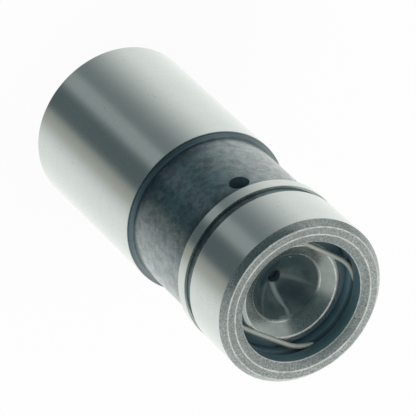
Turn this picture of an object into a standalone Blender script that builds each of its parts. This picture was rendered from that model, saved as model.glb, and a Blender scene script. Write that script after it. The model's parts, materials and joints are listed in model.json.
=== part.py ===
"""Hydraulic valve lifter, modelled in Blender 4.5.

The lifter stands on its foot. The origin is the middle of the foot, +Z points along the axis to the
open pushrod end, and the oil hole in the waist faces -Y.
"""

import math

import bmesh
import bpy
from mathutils import Matrix, Vector

MM = 0.001

# Lifter body: the lands, the waist and the groove are measured down from the open end.
BODY_RADIUS = 11.1 * MM
BODY_LENGTH = 50.4 * MM
FOOT_THICKNESS = 5.5 * MM
FOOT_EDGE_BREAK = 0.15 * MM
BODY_WALL = 2.95 * MM
BORE_FLOOR_FILLET = 1.0 * MM
UPPER_LAND_LENGTH = 8.45 * MM
WAIST_LENGTH = 13.7 * MM
WAIST_DEPTH = 0.68 * MM
WAIST_FILLET = 0.5 * MM
THIN_LAND_LENGTH = 1.7 * MM
RING_GROOVE_LENGTH = 1.45 * MM
RING_GROOVE_DEPTH = 0.35 * MM
END_CHAMFER_WIDTH = 0.73 * MM
END_CHAMFER_HEIGHT = 0.88 * MM
MOUTH_CHAMFER_WIDTH = 1.2 * MM
MOUTH_CHAMFER_DEPTH = 0.4 * MM
OIL_HOLE_RADIUS = 1.29 * MM
OIL_HOLE_BELOW_THIN_LAND = 2.25 * MM

# Pushrod seat: a cup with a dished top and a spherical socket.
SEAT_BELOW_FACE = 3.14 * MM
SEAT_LENGTH = 6.3 * MM
SEAT_LAND_WIDTH = 0.5 * MM
SEAT_SHOULDER_WIDTH = 1.35 * MM
SEAT_SHOULDER_DROP = 1.08 * MM
SEAT_DISH_WIDTH = 1.71 * MM
SEAT_DISH_DEPTH = 1.2 * MM
SEAT_FOOT_BREAK = 0.3 * MM
SOCKET_DEPTH = 3.24 * MM
METERING_HOLE_RADIUS = 0.84 * MM
SEAT_RECESS_RADIUS = 3.2 * MM
SEAT_RECESS_DEPTH = 0.45 * MM
SEAT_RECESS_CONE_HEIGHT = 0.4 * MM

# Metering disc, in a recess in the plunger's top.
DISC_RECESS_RIM = 1.5 * MM
DISC_THICKNESS = 0.4 * MM
DISC_EDGE_CLEARANCE = 0.2 * MM
DISC_EDGE_BREAK = 0.1 * MM

# Plunger: a hollow piston with an oil waist and a check port in its floor. It reaches from the seat down
# to the pressure chamber, whose height is set.
CHAMBER_HEIGHT = 10.08 * MM
PLUNGER_EDGE_BREAK = 0.3 * MM
PLUNGER_WALL = 2.9 * MM
RESERVOIR_FLOOR_FILLET = 0.8 * MM
PLUNGER_FLOOR_THICKNESS = 2.4 * MM
PORT_CONE_DROP = 0.5 * MM
OIL_WAIST_DEPTH = 0.8 * MM
OIL_WAIST_LENGTH = 6.6 * MM
OIL_WAIST_SLOPE = 0.3 * MM
PLUNGER_TOP_LAND = 1.3 * MM
FEED_HOLE_RADIUS = 0.8 * MM
CHECK_PORT_RADIUS = 1.7 * MM
VALVE_CONE_WIDTH = 0.4 * MM
CAGE_POCKET_LIP = 0.8 * MM
CAGE_POCKET_DEPTH = 0.8 * MM

# Check valve: ball, tapered spring and pressed cage.
BALL_RADIUS = 2.4 * MM
CAGE_WALL = 0.5 * MM
CAGE_FLANGE_EDGE_CLEARANCE = 0.2 * MM
CAGE_FLANGE_THICKNESS = 0.6 * MM
CAGE_BALL_CLEARANCE = 0.35 * MM
CAGE_CUP_DEPTH = 4.8 * MM
CAGE_FLOOR_HOLE_RADIUS = 0.9 * MM
CAGE_CORNER_FILLET = 0.5 * MM
CAGE_WINDOW_WIDTH = 1.8 * MM
CAGE_WINDOW_SILL = 0.7 * MM
CAGE_WINDOW_HEIGHT = 3.2 * MM
CHECK_SPRING_WIRE_RADIUS = 0.15 * MM
CHECK_SPRING_TOP_RADIUS = 1.5 * MM
CHECK_SPRING_FOOT_RADIUS = 2.2 * MM
CHECK_SPRING_TURNS = 3.0

# Plunger spring, between the body's floor and the cage's flange.
MAIN_SPRING_WIRE_RADIUS = 0.6 * MM
MAIN_SPRING_SIDE_PLAY = 1.45 * MM
MAIN_SPRING_TURNS = 5.0
MAIN_SPRING_CLOSED_TURNS = 1.0
MAIN_SPRING_CLOSED_PITCH = 1.35 * MM

# Wire clip over the seat: two legs along the seat's rim that converge slightly towards its open ends.
CLIP_WIRE_RADIUS = 0.33 * MM
CLIP_GROOVE_DEPTH = 0.83 * MM
CLIP_GROOVE_SIDE_PLAY = 0.15 * MM
CLIP_GROOVE_FLOOR_PLAY = 0.05 * MM
CLIP_LEG_TAPER = math.radians(1.2)
CLIP_BEND_OFF_MIDDLE = 1.25 * MM
CLIP_TIP_BEND = math.radians(50.0)
CLIP_OPEN_SIDE = math.radians(137.2)

# Clearances.
BORE_CLEARANCE = 0.05 * MM
REST_GAP = 0.08 * MM

# Facets.
BODY_SIDES = 64
INNER_SIDES = 48
HOLE_SIDES = 24
WINDOW_COUNT = 4

# Heights worked out from the sizes above, up from the foot.
RING_GROOVE_TOP = BODY_LENGTH - UPPER_LAND_LENGTH
RING_GROOVE_FOOT = RING_GROOVE_TOP - RING_GROOVE_LENGTH
WAIST_TOP = RING_GROOVE_FOOT - THIN_LAND_LENGTH
WAIST_FOOT = WAIST_TOP - WAIST_LENGTH
OIL_HOLE_HEIGHT = WAIST_TOP - OIL_HOLE_BELOW_THIN_LAND
SEAT_TOP = BODY_LENGTH - SEAT_BELOW_FACE
SEAT_FOOT = SEAT_TOP - SEAT_LENGTH
PLUNGER_TOP = SEAT_FOOT - REST_GAP
PLUNGER_FOOT = FOOT_THICKNESS + CHAMBER_HEIGHT
CAGE_POCKET_ROOF = PLUNGER_FOOT + CAGE_POCKET_DEPTH
VALVE_EDGE = CAGE_POCKET_ROOF + VALVE_CONE_WIDTH
BALL_HEIGHT = VALVE_EDGE + CHECK_PORT_RADIUS - math.sqrt(2) * (BALL_RADIUS + REST_GAP)
CAGE_FLANGE_TOP = CAGE_POCKET_ROOF - REST_GAP
CAGE_FLANGE_FOOT = CAGE_FLANGE_TOP - CAGE_FLANGE_THICKNESS
CAGE_CUP_FLOOR = CAGE_FLANGE_FOOT - CAGE_CUP_DEPTH
CLIP_HEIGHT = SEAT_TOP + REST_GAP + CLIP_WIRE_RADIUS

# Radii worked out from the sizes above, from the body inwards.
BORE_RADIUS = BODY_RADIUS - BODY_WALL
PLUNGER_RADIUS = BORE_RADIUS - BORE_CLEARANCE
SEAT_LAND_RADIUS = PLUNGER_RADIUS - SEAT_SHOULDER_WIDTH
SEAT_RIM_RADIUS = SEAT_LAND_RADIUS - SEAT_LAND_WIDTH
SOCKET_MOUTH_RADIUS = SEAT_RIM_RADIUS - SEAT_DISH_WIDTH
SOCKET_RADIUS = (SOCKET_MOUTH_RADIUS**2 + SOCKET_DEPTH**2) / (2.0 * SOCKET_DEPTH)
CLIP_BEND_RADIUS = SEAT_RIM_RADIUS - CLIP_BEND_OFF_MIDDLE
DISC_RECESS_RADIUS = PLUNGER_RADIUS - DISC_RECESS_RIM
DISC_RADIUS = DISC_RECESS_RADIUS - DISC_EDGE_CLEARANCE
RESERVOIR_RADIUS = PLUNGER_RADIUS - PLUNGER_WALL
CAGE_POCKET_RADIUS = PLUNGER_RADIUS - CAGE_POCKET_LIP
CAGE_FLANGE_RADIUS = CAGE_POCKET_RADIUS - CAGE_FLANGE_EDGE_CLEARANCE
CAGE_CUP_INNER = BALL_RADIUS + CAGE_BALL_CLEARANCE
CAGE_CUP_OUTER = CAGE_CUP_INNER + CAGE_WALL
MAIN_SPRING_RADIUS = BORE_RADIUS - MAIN_SPRING_SIDE_PLAY - MAIN_SPRING_WIRE_RADIUS


def clear_scene():
    for thing in list(bpy.data.objects):
        bpy.data.objects.remove(thing)


def metal(name, colour, roughness):
    material = bpy.data.materials.new(name)
    material.use_nodes = True
    shader = material.node_tree.nodes["Principled BSDF"]
    shader.inputs["Base Color"].default_value = (*colour, 1.0)
    shader.inputs["Metallic"].default_value = 1.0
    shader.inputs["Roughness"].default_value = roughness
    return material


def add_object(name, data, *materials):
    thing = bpy.data.objects.new(name, data)
    bpy.context.scene.collection.objects.link(thing)
    for material in materials:
        data.materials.append(material)
    return thing


def arc(centre_radius, centre_height, radius, start, end, steps=5):
    """Points of a round corner in an outline, as (radius, height), from one angle to the other in degrees."""
    points = []
    for step in range(steps + 1):
        angle = math.radians(start + (end - start) * step / steps)
        points.append((centre_radius + radius * math.cos(angle), centre_height + radius * math.sin(angle)))
    return points


def turned_mesh(name, outline, sides, closed_outline=False):
    """A turned piece: the outline in (radius, height) is spun once round the Z axis."""
    shape = bmesh.new()
    verts = [shape.verts.new((radius, 0.0, height)) for radius, height in outline]
    edges = [shape.edges.new(pair) for pair in zip(verts, verts[1:])]
    if closed_outline:
        edges.append(shape.edges.new((verts[-1], verts[0])))
    bmesh.ops.spin(
        shape,
        geom=verts + edges,
        cent=(0.0, 0.0, 0.0),
        axis=(0.0, 0.0, 1.0),
        dvec=(0.0, 0.0, 0.0),
        angle=2.0 * math.pi,
        steps=sides,
        use_merge=True,
        use_normal_flip=False,
        use_duplicate=False,
    )
    bmesh.ops.remove_doubles(shape, verts=shape.verts, dist=1e-7)
    bmesh.ops.recalc_face_normals(shape, faces=shape.faces)
    mesh = bpy.data.meshes.new(name)
    shape.to_mesh(mesh)
    shape.free()
    mesh.shade_smooth()
    mesh.set_sharp_from_angle(angle=math.radians(25.0))
    return mesh


def helper_cylinder(name, radius, start, end):
    """A round cutter between two points."""
    start, end = Vector(start), Vector(end)
    shape = bmesh.new()
    bmesh.ops.create_cone(
        shape,
        cap_ends=True,
        segments=HOLE_SIDES,
        radius1=radius,
        radius2=radius,
        depth=(end - start).length,
    )
    turn = (end - start).to_track_quat("Z", "Y").to_matrix().to_4x4()
    bmesh.ops.transform(shape, matrix=Matrix.Translation((start + end) / 2.0) @ turn, verts=shape.verts)
    mesh = bpy.data.meshes.new(name)
    shape.to_mesh(mesh)
    shape.free()
    return hide_helper(bpy.data.objects.new(name, mesh))


def helper_box(name, size, place, turn):
    """A box cutter, turned round the Z axis."""
    shape = bmesh.new()
    bmesh.ops.create_cube(shape, size=1.0)
    bmesh.ops.scale(shape, vec=size, verts=shape.verts)
    bmesh.ops.translate(shape, vec=place, verts=shape.verts)
    bmesh.ops.rotate(shape, cent=(0.0, 0.0, 0.0), matrix=Matrix.Rotation(turn, 3, "Z"), verts=shape.verts)
    mesh = bpy.data.meshes.new(name)
    shape.to_mesh(mesh)
    shape.free()
    return hide_helper(bpy.data.objects.new(name, mesh))


def hide_helper(helper):
    bpy.context.scene.collection.objects.link(helper)
    helper.hide_render = True
    helper.display_type = "WIRE"
    return helper


def cut(piece, cutter):
    modifier = piece.modifiers.new(cutter.name, "BOOLEAN")
    modifier.operation = "DIFFERENCE"
    modifier.solver = "EXACT"
    modifier.object = cutter


def wire_piece(name, points, wire_radius, material):
    """A piece of round wire along the points, with flat ends."""
    curve = bpy.data.curves.new(name, "CURVE")
    curve.dimensions = "3D"
    curve.bevel_depth = wire_radius
    curve.bevel_resolution = 2
    curve.use_fill_caps = True
    spline = curve.splines.new("POLY")
    spline.points.add(len(points) - 1)
    for place, point in zip(spline.points, points):
        place.co = (*point, 1.0)
    return add_object(name, curve, material)


def body_outline():
    """The body's section, from the middle of the foot round the outside to the middle of the bore's floor."""
    waist_radius = BODY_RADIUS - WAIST_DEPTH
    groove_radius = BODY_RADIUS - RING_GROOVE_DEPTH
    face_edge = BODY_RADIUS - END_CHAMFER_WIDTH
    outside = [
        (0.0, 0.0),
        (BODY_RADIUS - FOOT_EDGE_BREAK, 0.0),
        (BODY_RADIUS, FOOT_EDGE_BREAK),
        (BODY_RADIUS, WAIST_FOOT),
        *arc(waist_radius + WAIST_FILLET, WAIST_FOOT + WAIST_FILLET, WAIST_FILLET, 270, 180),
        *arc(waist_radius + WAIST_FILLET, WAIST_TOP - WAIST_FILLET, WAIST_FILLET, 180, 90),
        (BODY_RADIUS, WAIST_TOP),
        (BODY_RADIUS, RING_GROOVE_FOOT),
        (groove_radius, RING_GROOVE_FOOT),
        (groove_radius, RING_GROOVE_TOP),
        (BODY_RADIUS, RING_GROOVE_TOP),
        (BODY_RADIUS, BODY_LENGTH - END_CHAMFER_HEIGHT),
        (face_edge, BODY_LENGTH),
    ]
    clip_groove_radius = BORE_RADIUS + CLIP_GROOVE_DEPTH
    clip_groove_half = CLIP_WIRE_RADIUS + CLIP_GROOVE_SIDE_PLAY
    inside = [
        (BORE_RADIUS + MOUTH_CHAMFER_WIDTH, BODY_LENGTH),
        (BORE_RADIUS, BODY_LENGTH - MOUTH_CHAMFER_DEPTH),
        (BORE_RADIUS, CLIP_HEIGHT + clip_groove_half),
        (clip_groove_radius, CLIP_HEIGHT + clip_groove_half),
        (clip_groove_radius, CLIP_HEIGHT - clip_groove_half),
        (BORE_RADIUS, CLIP_HEIGHT - clip_groove_half),
        *arc(BORE_RADIUS - BORE_FLOOR_FILLET, FOOT_THICKNESS + BORE_FLOOR_FILLET, BORE_FLOOR_FILLET, 0, -90),
        (0.0, FOOT_THICKNESS),
    ]
    return outside + inside


def darken_recesses(mesh):
    """Gives the second material to the waist, the narrow groove and the bore, which aren't ground."""
    for face in mesh.polygons:
        middle = face.center
        radius = math.hypot(middle.x, middle.y)
        in_waist = WAIST_FOOT <= middle.z <= WAIST_TOP and radius < BODY_RADIUS - WAIST_DEPTH / 4
        in_groove = RING_GROOVE_FOOT <= middle.z <= RING_GROOVE_TOP and radius < BODY_RADIUS - RING_GROOVE_DEPTH / 4
        in_bore = middle.z > FOOT_THICKNESS / 2 and radius < BORE_RADIUS + CLIP_GROOVE_DEPTH
        face.material_index = 1 if in_waist or in_groove or in_bore else 0


def make_lifter_body():
    mesh = turned_mesh("lifter_body", body_outline(), BODY_SIDES)
    body = add_object(
        "lifter_body",
        mesh,
        metal("ground_steel", (0.62, 0.63, 0.61), 0.3),
        metal("blackened_steel", (0.16, 0.19, 0.2), 0.45),
    )
    darken_recesses(mesh)
    hole = helper_cylinder(
        "oil_hole_cutter",
        OIL_HOLE_RADIUS,
        (0.0, -BORE_RADIUS / 2, OIL_HOLE_HEIGHT),
        (0.0, -BODY_RADIUS * 1.2, OIL_HOLE_HEIGHT),
    )
    cut(body, hole)
    return body


def seat_outline():
    """The pushrod seat's section, a closed ring round its metering hole."""
    outer = PLUNGER_RADIUS
    mouth_height = SEAT_TOP - SEAT_DISH_DEPTH
    rise = SOCKET_RADIUS - SOCKET_DEPTH
    socket_centre = mouth_height + rise
    start = math.degrees(math.atan2(-rise, SOCKET_MOUTH_RADIUS))
    end = -math.degrees(math.acos(METERING_HOLE_RADIUS / SOCKET_RADIUS))
    recess_top = SEAT_FOOT + SEAT_RECESS_DEPTH
    return [
        (SEAT_RECESS_RADIUS, SEAT_FOOT),
        (outer - SEAT_FOOT_BREAK, SEAT_FOOT),
        (outer, SEAT_FOOT + SEAT_FOOT_BREAK),
        (outer, SEAT_TOP - SEAT_SHOULDER_DROP),
        (SEAT_LAND_RADIUS, SEAT_TOP),
        (SEAT_RIM_RADIUS, SEAT_TOP),
        *arc(0.0, socket_centre, SOCKET_RADIUS, start, end, steps=9),
        (METERING_HOLE_RADIUS, recess_top + SEAT_RECESS_CONE_HEIGHT),
        (SEAT_RECESS_RADIUS, recess_top),
    ]


def make_pushrod_seat():
    mesh = turned_mesh("pushrod_seat", seat_outline(), INNER_SIDES, closed_outline=True)
    return add_object("pushrod_seat", mesh, metal("seat_steel", (0.5, 0.5, 0.47), 0.35))


def make_metering_disc():
    foot = PLUNGER_TOP - DISC_THICKNESS - REST_GAP
    outline = [
        (0.0, foot),
        (DISC_RADIUS - DISC_EDGE_BREAK, foot),
        (DISC_RADIUS, foot + DISC_EDGE_BREAK),
        (DISC_RADIUS, foot + DISC_THICKNESS - DISC_EDGE_BREAK),
        (DISC_RADIUS - DISC_EDGE_BREAK, foot + DISC_THICKNESS),
        (0.0, foot + DISC_THICKNESS),
    ]
    mesh = turned_mesh("metering_disc", outline, INNER_SIDES)
    return add_object("metering_disc", mesh, metal("disc_steel", (0.45, 0.45, 0.43), 0.3))


def plunger_outline():
    """The plunger's section, a closed ring round its check port."""
    waist_top = PLUNGER_TOP - PLUNGER_TOP_LAND
    waist_foot = waist_top - OIL_WAIST_LENGTH
    waist_radius = PLUNGER_RADIUS - OIL_WAIST_DEPTH
    reservoir_floor = CAGE_POCKET_ROOF + PLUNGER_FLOOR_THICKNESS
    disc_ledge = PLUNGER_TOP - DISC_THICKNESS - 2 * REST_GAP
    fillet = RESERVOIR_FLOOR_FILLET
    return [
        (CAGE_POCKET_RADIUS, PLUNGER_FOOT),
        (PLUNGER_RADIUS - PLUNGER_EDGE_BREAK, PLUNGER_FOOT),
        (PLUNGER_RADIUS, PLUNGER_FOOT + PLUNGER_EDGE_BREAK),
        (PLUNGER_RADIUS, waist_foot),
        (waist_radius, waist_foot + OIL_WAIST_SLOPE),
        (waist_radius, waist_top - OIL_WAIST_SLOPE),
        (PLUNGER_RADIUS, waist_top),
        (PLUNGER_RADIUS, PLUNGER_TOP - PLUNGER_EDGE_BREAK),
        (PLUNGER_RADIUS - PLUNGER_EDGE_BREAK, PLUNGER_TOP),
        (DISC_RECESS_RADIUS, PLUNGER_TOP),
        (DISC_RECESS_RADIUS, disc_ledge),
        (RESERVOIR_RADIUS, disc_ledge),
        *arc(RESERVOIR_RADIUS - fillet, reservoir_floor + fillet, fillet, 0, -90, steps=3),
        (CHECK_PORT_RADIUS, reservoir_floor - PORT_CONE_DROP),
        (CHECK_PORT_RADIUS, VALVE_EDGE),
        (CHECK_PORT_RADIUS + VALVE_CONE_WIDTH, CAGE_POCKET_ROOF),
        (CAGE_POCKET_RADIUS, CAGE_POCKET_ROOF),
    ]


def make_plunger():
    mesh = turned_mesh("plunger", plunger_outline(), INNER_SIDES, closed_outline=True)
    plunger = add_object("plunger", mesh, metal("plunger_steel", (0.6, 0.61, 0.6), 0.22))
    feed_height = PLUNGER_TOP - PLUNGER_TOP_LAND - OIL_WAIST_LENGTH / 2
    hole = helper_cylinder(
        "feed_hole_cutter",
        FEED_HOLE_RADIUS,
        (0.0, RESERVOIR_RADIUS / 2, feed_height),
        (0.0, BORE_RADIUS * 1.2, feed_height),
    )
    cut(plunger, hole)
    return plunger


def make_check_ball():
    shape = bmesh.new()
    bmesh.ops.create_uvsphere(shape, u_segments=20, v_segments=12, radius=BALL_RADIUS)
    mesh = bpy.data.meshes.new("check_ball")
    shape.to_mesh(mesh)
    shape.free()
    mesh.shade_smooth()
    ball = add_object("check_ball", mesh, metal("ball_steel", (0.72, 0.73, 0.74), 0.08))
    ball.location = (0.0, 0.0, BALL_HEIGHT)
    return ball


def make_check_retainer():
    floor_foot = CAGE_CUP_FLOOR
    floor_top = CAGE_CUP_FLOOR + CAGE_WALL
    outline = [
        (CAGE_FLOOR_HOLE_RADIUS, floor_foot),
        *arc(CAGE_CUP_OUTER - CAGE_CORNER_FILLET, floor_foot + CAGE_CORNER_FILLET, CAGE_CORNER_FILLET, -90, 0, steps=3),
        (CAGE_CUP_OUTER, CAGE_FLANGE_FOOT),
        (CAGE_FLANGE_RADIUS, CAGE_FLANGE_FOOT),
        (CAGE_FLANGE_RADIUS, CAGE_FLANGE_TOP),
        (CAGE_CUP_INNER, CAGE_FLANGE_TOP),
        (CAGE_CUP_INNER, floor_top),
        (CAGE_FLOOR_HOLE_RADIUS, floor_top),
    ]
    mesh = turned_mesh("check_retainer", outline, INNER_SIDES, closed_outline=True)
    cage = add_object("check_retainer", mesh, metal("cage_steel", (0.5, 0.5, 0.48), 0.35))
    middle = floor_top + CAGE_WINDOW_SILL + CAGE_WINDOW_HEIGHT / 2
    for index in range(WINDOW_COUNT // 2):
        window = helper_box(
            f"cage_window_cutter_{index + 1}",
            (CAGE_CUP_OUTER * 2.4, CAGE_WINDOW_WIDTH, CAGE_WINDOW_HEIGHT),
            (0.0, 0.0, middle),
            math.radians(45.0) + 2.0 * math.pi * index / WINDOW_COUNT,
        )
        cut(cage, window)
    return cage


def coil_points(turns, steps_per_turn, radius_at, height_at):
    """Points of a coil: radius and height are functions of the turns counted from the foot."""
    points = []
    for step in range(round(turns * steps_per_turn) + 1):
        turn = step / steps_per_turn
        angle = 2.0 * math.pi * turn
        radius = radius_at(turn)
        points.append((radius * math.cos(angle), radius * math.sin(angle), height_at(turn)))
    return points


def make_check_spring():
    """A tapered coil: its foot stands in the cage and its top coil carries the ball."""
    reach = BALL_RADIUS + CHECK_SPRING_WIRE_RADIUS + REST_GAP
    top = BALL_HEIGHT - math.sqrt(reach**2 - CHECK_SPRING_TOP_RADIUS**2)
    foot = CAGE_CUP_FLOOR + CAGE_WALL + REST_GAP + CHECK_SPRING_WIRE_RADIUS

    def radius_at(turn):
        share = turn / CHECK_SPRING_TURNS
        return CHECK_SPRING_FOOT_RADIUS + (CHECK_SPRING_TOP_RADIUS - CHECK_SPRING_FOOT_RADIUS) * share

    def height_at(turn):
        return foot + (top - foot) * turn / CHECK_SPRING_TURNS

    points = coil_points(CHECK_SPRING_TURNS, 16, radius_at, height_at)
    return wire_piece("check_spring", points, CHECK_SPRING_WIRE_RADIUS, metal("check_spring_wire", (0.5, 0.5, 0.5), 0.25))


def make_plunger_spring():
    """The main coil, with closed coils at both ends."""
    foot = FOOT_THICKNESS + REST_GAP + MAIN_SPRING_WIRE_RADIUS
    top = CAGE_FLANGE_FOOT - REST_GAP - MAIN_SPRING_WIRE_RADIUS
    closed_rise = MAIN_SPRING_CLOSED_TURNS * MAIN_SPRING_CLOSED_PITCH
    open_turns = MAIN_SPRING_TURNS - 2 * MAIN_SPRING_CLOSED_TURNS
    open_pitch = (top - foot - 2 * closed_rise) / open_turns

    def height_at(turn):
        lower = min(turn, MAIN_SPRING_CLOSED_TURNS)
        upper = max(turn - MAIN_SPRING_CLOSED_TURNS - open_turns, 0.0)
        middle = turn - lower - upper
        return foot + (lower + upper) * MAIN_SPRING_CLOSED_PITCH + middle * open_pitch

    points = coil_points(MAIN_SPRING_TURNS, 24, lambda turn: MAIN_SPRING_RADIUS, height_at)
    return wire_piece("plunger_spring", points, MAIN_SPRING_WIRE_RADIUS, metal("spring_wire", (0.42, 0.42, 0.42), 0.3))


def flat_arc(centre, radius, start, end, step=math.radians(6.0)):
    """Points of an arc in the clip's plane, from one angle to the other."""
    count = max(1, math.ceil(abs(end - start) / step))
    angles = [start + (end - start) * index / count for index in range(count + 1)]
    return [(centre[0] + radius * math.cos(angle), centre[1] + radius * math.sin(angle)) for angle in angles]


def clip_half():
    """One half of the clip's centre line, from the middle of its closed side to its open tip.

    The clip's open side is +X and the half lies at +Y. The leg is a straight chord over the seat's rim.
    A bend joins its back to the arc that sits in the groove, and its front bends into the groove and ends.
    """
    seat_radius = BORE_RADIUS + CLIP_GROOVE_DEPTH - CLIP_WIRE_RADIUS - CLIP_GROOVE_FLOOR_PLAY
    along = Vector((math.cos(CLIP_LEG_TAPER), -math.sin(CLIP_LEG_TAPER)))
    across = Vector((math.sin(CLIP_LEG_TAPER), math.cos(CLIP_LEG_TAPER)))
    reach = math.sqrt((seat_radius - CLIP_BEND_RADIUS) ** 2 - CLIP_BEND_OFF_MIDDLE**2)
    back_bend = across * CLIP_BEND_OFF_MIDDLE - along * reach
    front_bend = across * CLIP_BEND_OFF_MIDDLE + along * reach
    leg_side = math.atan2(across.y, across.x)
    back_angle = math.atan2(back_bend.y, back_bend.x)
    points = flat_arc((0.0, 0.0), seat_radius, math.pi, back_angle)
    points += flat_arc(back_bend, CLIP_BEND_RADIUS, back_angle, leg_side)[1:]
    points += flat_arc(front_bend, CLIP_BEND_RADIUS, leg_side, leg_side - CLIP_TIP_BEND)
    return points


def make_retaining_clip():
    half = clip_half()
    other_half = [(x, -y) for x, y in reversed(half)]
    turn = Matrix.Rotation(CLIP_OPEN_SIDE, 3, "Z")
    points = [turn @ Vector((x, y, CLIP_HEIGHT)) for x, y in other_half[:-1] + half]
    return wire_piece("retaining_clip", points, CLIP_WIRE_RADIUS, metal("clip_wire", (0.66, 0.65, 0.6), 0.3))


def add_axis(name, height, parent=None):
    """An empty on a joint's axis, which carries the pieces that move with it."""
    axis = bpy.data.objects.new(name, None)
    bpy.context.scene.collection.objects.link(axis)
    axis.empty_display_size = 2.0 * MM
    axis.location = (0.0, 0.0, height)
    axis.parent = parent
    return axis


def carry(axis, axis_height, *pieces):
    for piece in pieces:
        piece.parent = axis
        piece.location.z -= axis_height


def main():
    clear_scene()
    make_lifter_body()
    make_retaining_clip()
    make_plunger_spring()
    plunger_axis = add_axis("plunger_travel_axis", PLUNGER_FOOT)
    ball_axis = add_axis("check_ball_axis", BALL_HEIGHT - PLUNGER_FOOT, plunger_axis)
    carry(
        plunger_axis,
        PLUNGER_FOOT,
        make_plunger(),
        make_pushrod_seat(),
        make_metering_disc(),
        make_check_retainer(),
        make_check_spring(),
    )
    carry(ball_axis, BALL_HEIGHT, make_check_ball())


main()
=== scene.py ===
"""The look of a flat-foot hydraulic valve lifter, built round its packed CAD model.

The lifter stands on its foot, in metres, with +Z along its axis to the open pushrod end. Each piece is
modelled fine and smooth in the place of its CAD node, and gets a procedural finish in millimetres.
"""

import json
import math
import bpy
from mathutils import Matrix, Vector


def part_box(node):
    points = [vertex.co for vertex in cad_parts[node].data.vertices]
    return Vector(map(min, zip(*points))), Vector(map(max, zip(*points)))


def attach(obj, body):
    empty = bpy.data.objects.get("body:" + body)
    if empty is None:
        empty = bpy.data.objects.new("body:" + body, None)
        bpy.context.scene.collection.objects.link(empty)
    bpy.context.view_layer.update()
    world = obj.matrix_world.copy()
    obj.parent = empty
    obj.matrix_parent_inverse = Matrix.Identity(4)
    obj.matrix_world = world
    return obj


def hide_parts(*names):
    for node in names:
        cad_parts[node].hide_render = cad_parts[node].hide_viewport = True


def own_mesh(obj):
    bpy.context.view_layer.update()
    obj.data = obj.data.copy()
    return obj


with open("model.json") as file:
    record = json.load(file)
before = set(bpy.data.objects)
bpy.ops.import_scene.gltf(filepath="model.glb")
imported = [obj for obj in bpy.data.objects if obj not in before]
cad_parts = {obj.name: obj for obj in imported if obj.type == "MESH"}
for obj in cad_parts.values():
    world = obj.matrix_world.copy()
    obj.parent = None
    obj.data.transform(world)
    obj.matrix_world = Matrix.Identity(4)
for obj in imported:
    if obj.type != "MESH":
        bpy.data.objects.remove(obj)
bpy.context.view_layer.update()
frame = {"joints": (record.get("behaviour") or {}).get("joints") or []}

from types import SimpleNamespace
from typing import NamedTuple

import bmesh
import bpy
from bpy.props import FloatProperty, FloatVectorProperty, PointerProperty
from mathutils import Matrix, Vector

bl_info = {
    "name": "Hydraulic Valve Lifter",
    "version": (1, 0, 0),
    "blender": (4, 5, 0),
    "location": "3D View > Sidebar > Lifter",
    "description": "Builds the pieces of a flat-foot hydraulic valve lifter and a studio round it",
    "category": "Object",
}

MM = 0.001
BODY_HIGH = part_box("lifter_body")[1]

# How finely round shapes are stepped
SPIN_STEPS = 192
INNER_SPIN_STEPS = 144
CORNER_STEPS = 8
SOCKET_STEPS = 24
HOLE_SIDES = 64
WIRE_STEPS = 5
CHECK_COIL_STEPS = 32
MAIN_COIL_STEPS = 64
BALL_SUBDIVISIONS = 5
ROUND_SEGMENTS = 3

# Edges from here on get a worn round, or stay sharp in the shading
SHARP_CORNER = math.radians(15.0)
SHADING_CORNER = math.radians(35.0)
SHADING_WEIGHT = 100

# Points nearer than this, in metres, are one
SAME_PLACE = 1e-7

# Shares of a size: a dressed tip's end, a cutter past a wall, and the plain band round the oil hole
TIP_SHARE = 0.35
PAST_WALL = 1.2
HOLE_MARGIN = 1.3

# How a face is told: on a radius, sunk into a groove by a share of its depth, or along the hole
JUST_OVER = 1.001
SUNK_SHARE = 0.125
ALONG_HOLE = 0.1


def length(name, description, default):
    return FloatProperty(
        name=name,
        description=description,
        default=default,
        min=0.0,
        precision=5,
        unit="LENGTH",
        subtype="DISTANCE",
    )


def position(name, description, default):
    return FloatVectorProperty(
        name=name, description=description, default=default, size=3, unit="LENGTH", subtype="XYZ"
    )


def angle(name, description, degrees):
    return FloatProperty(
        name=name, description=description, default=math.radians(degrees), unit="ROTATION", subtype="ANGLE"
    )


def share(name, description, default):
    return FloatProperty(
        name=name, description=description, default=default, min=0.0, max=1.0, subtype="FACTOR"
    )


def colour(name, description, default):
    return FloatVectorProperty(
        name=name, description=description, default=default, size=3, min=0.0, max=1.0, subtype="COLOR"
    )


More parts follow.
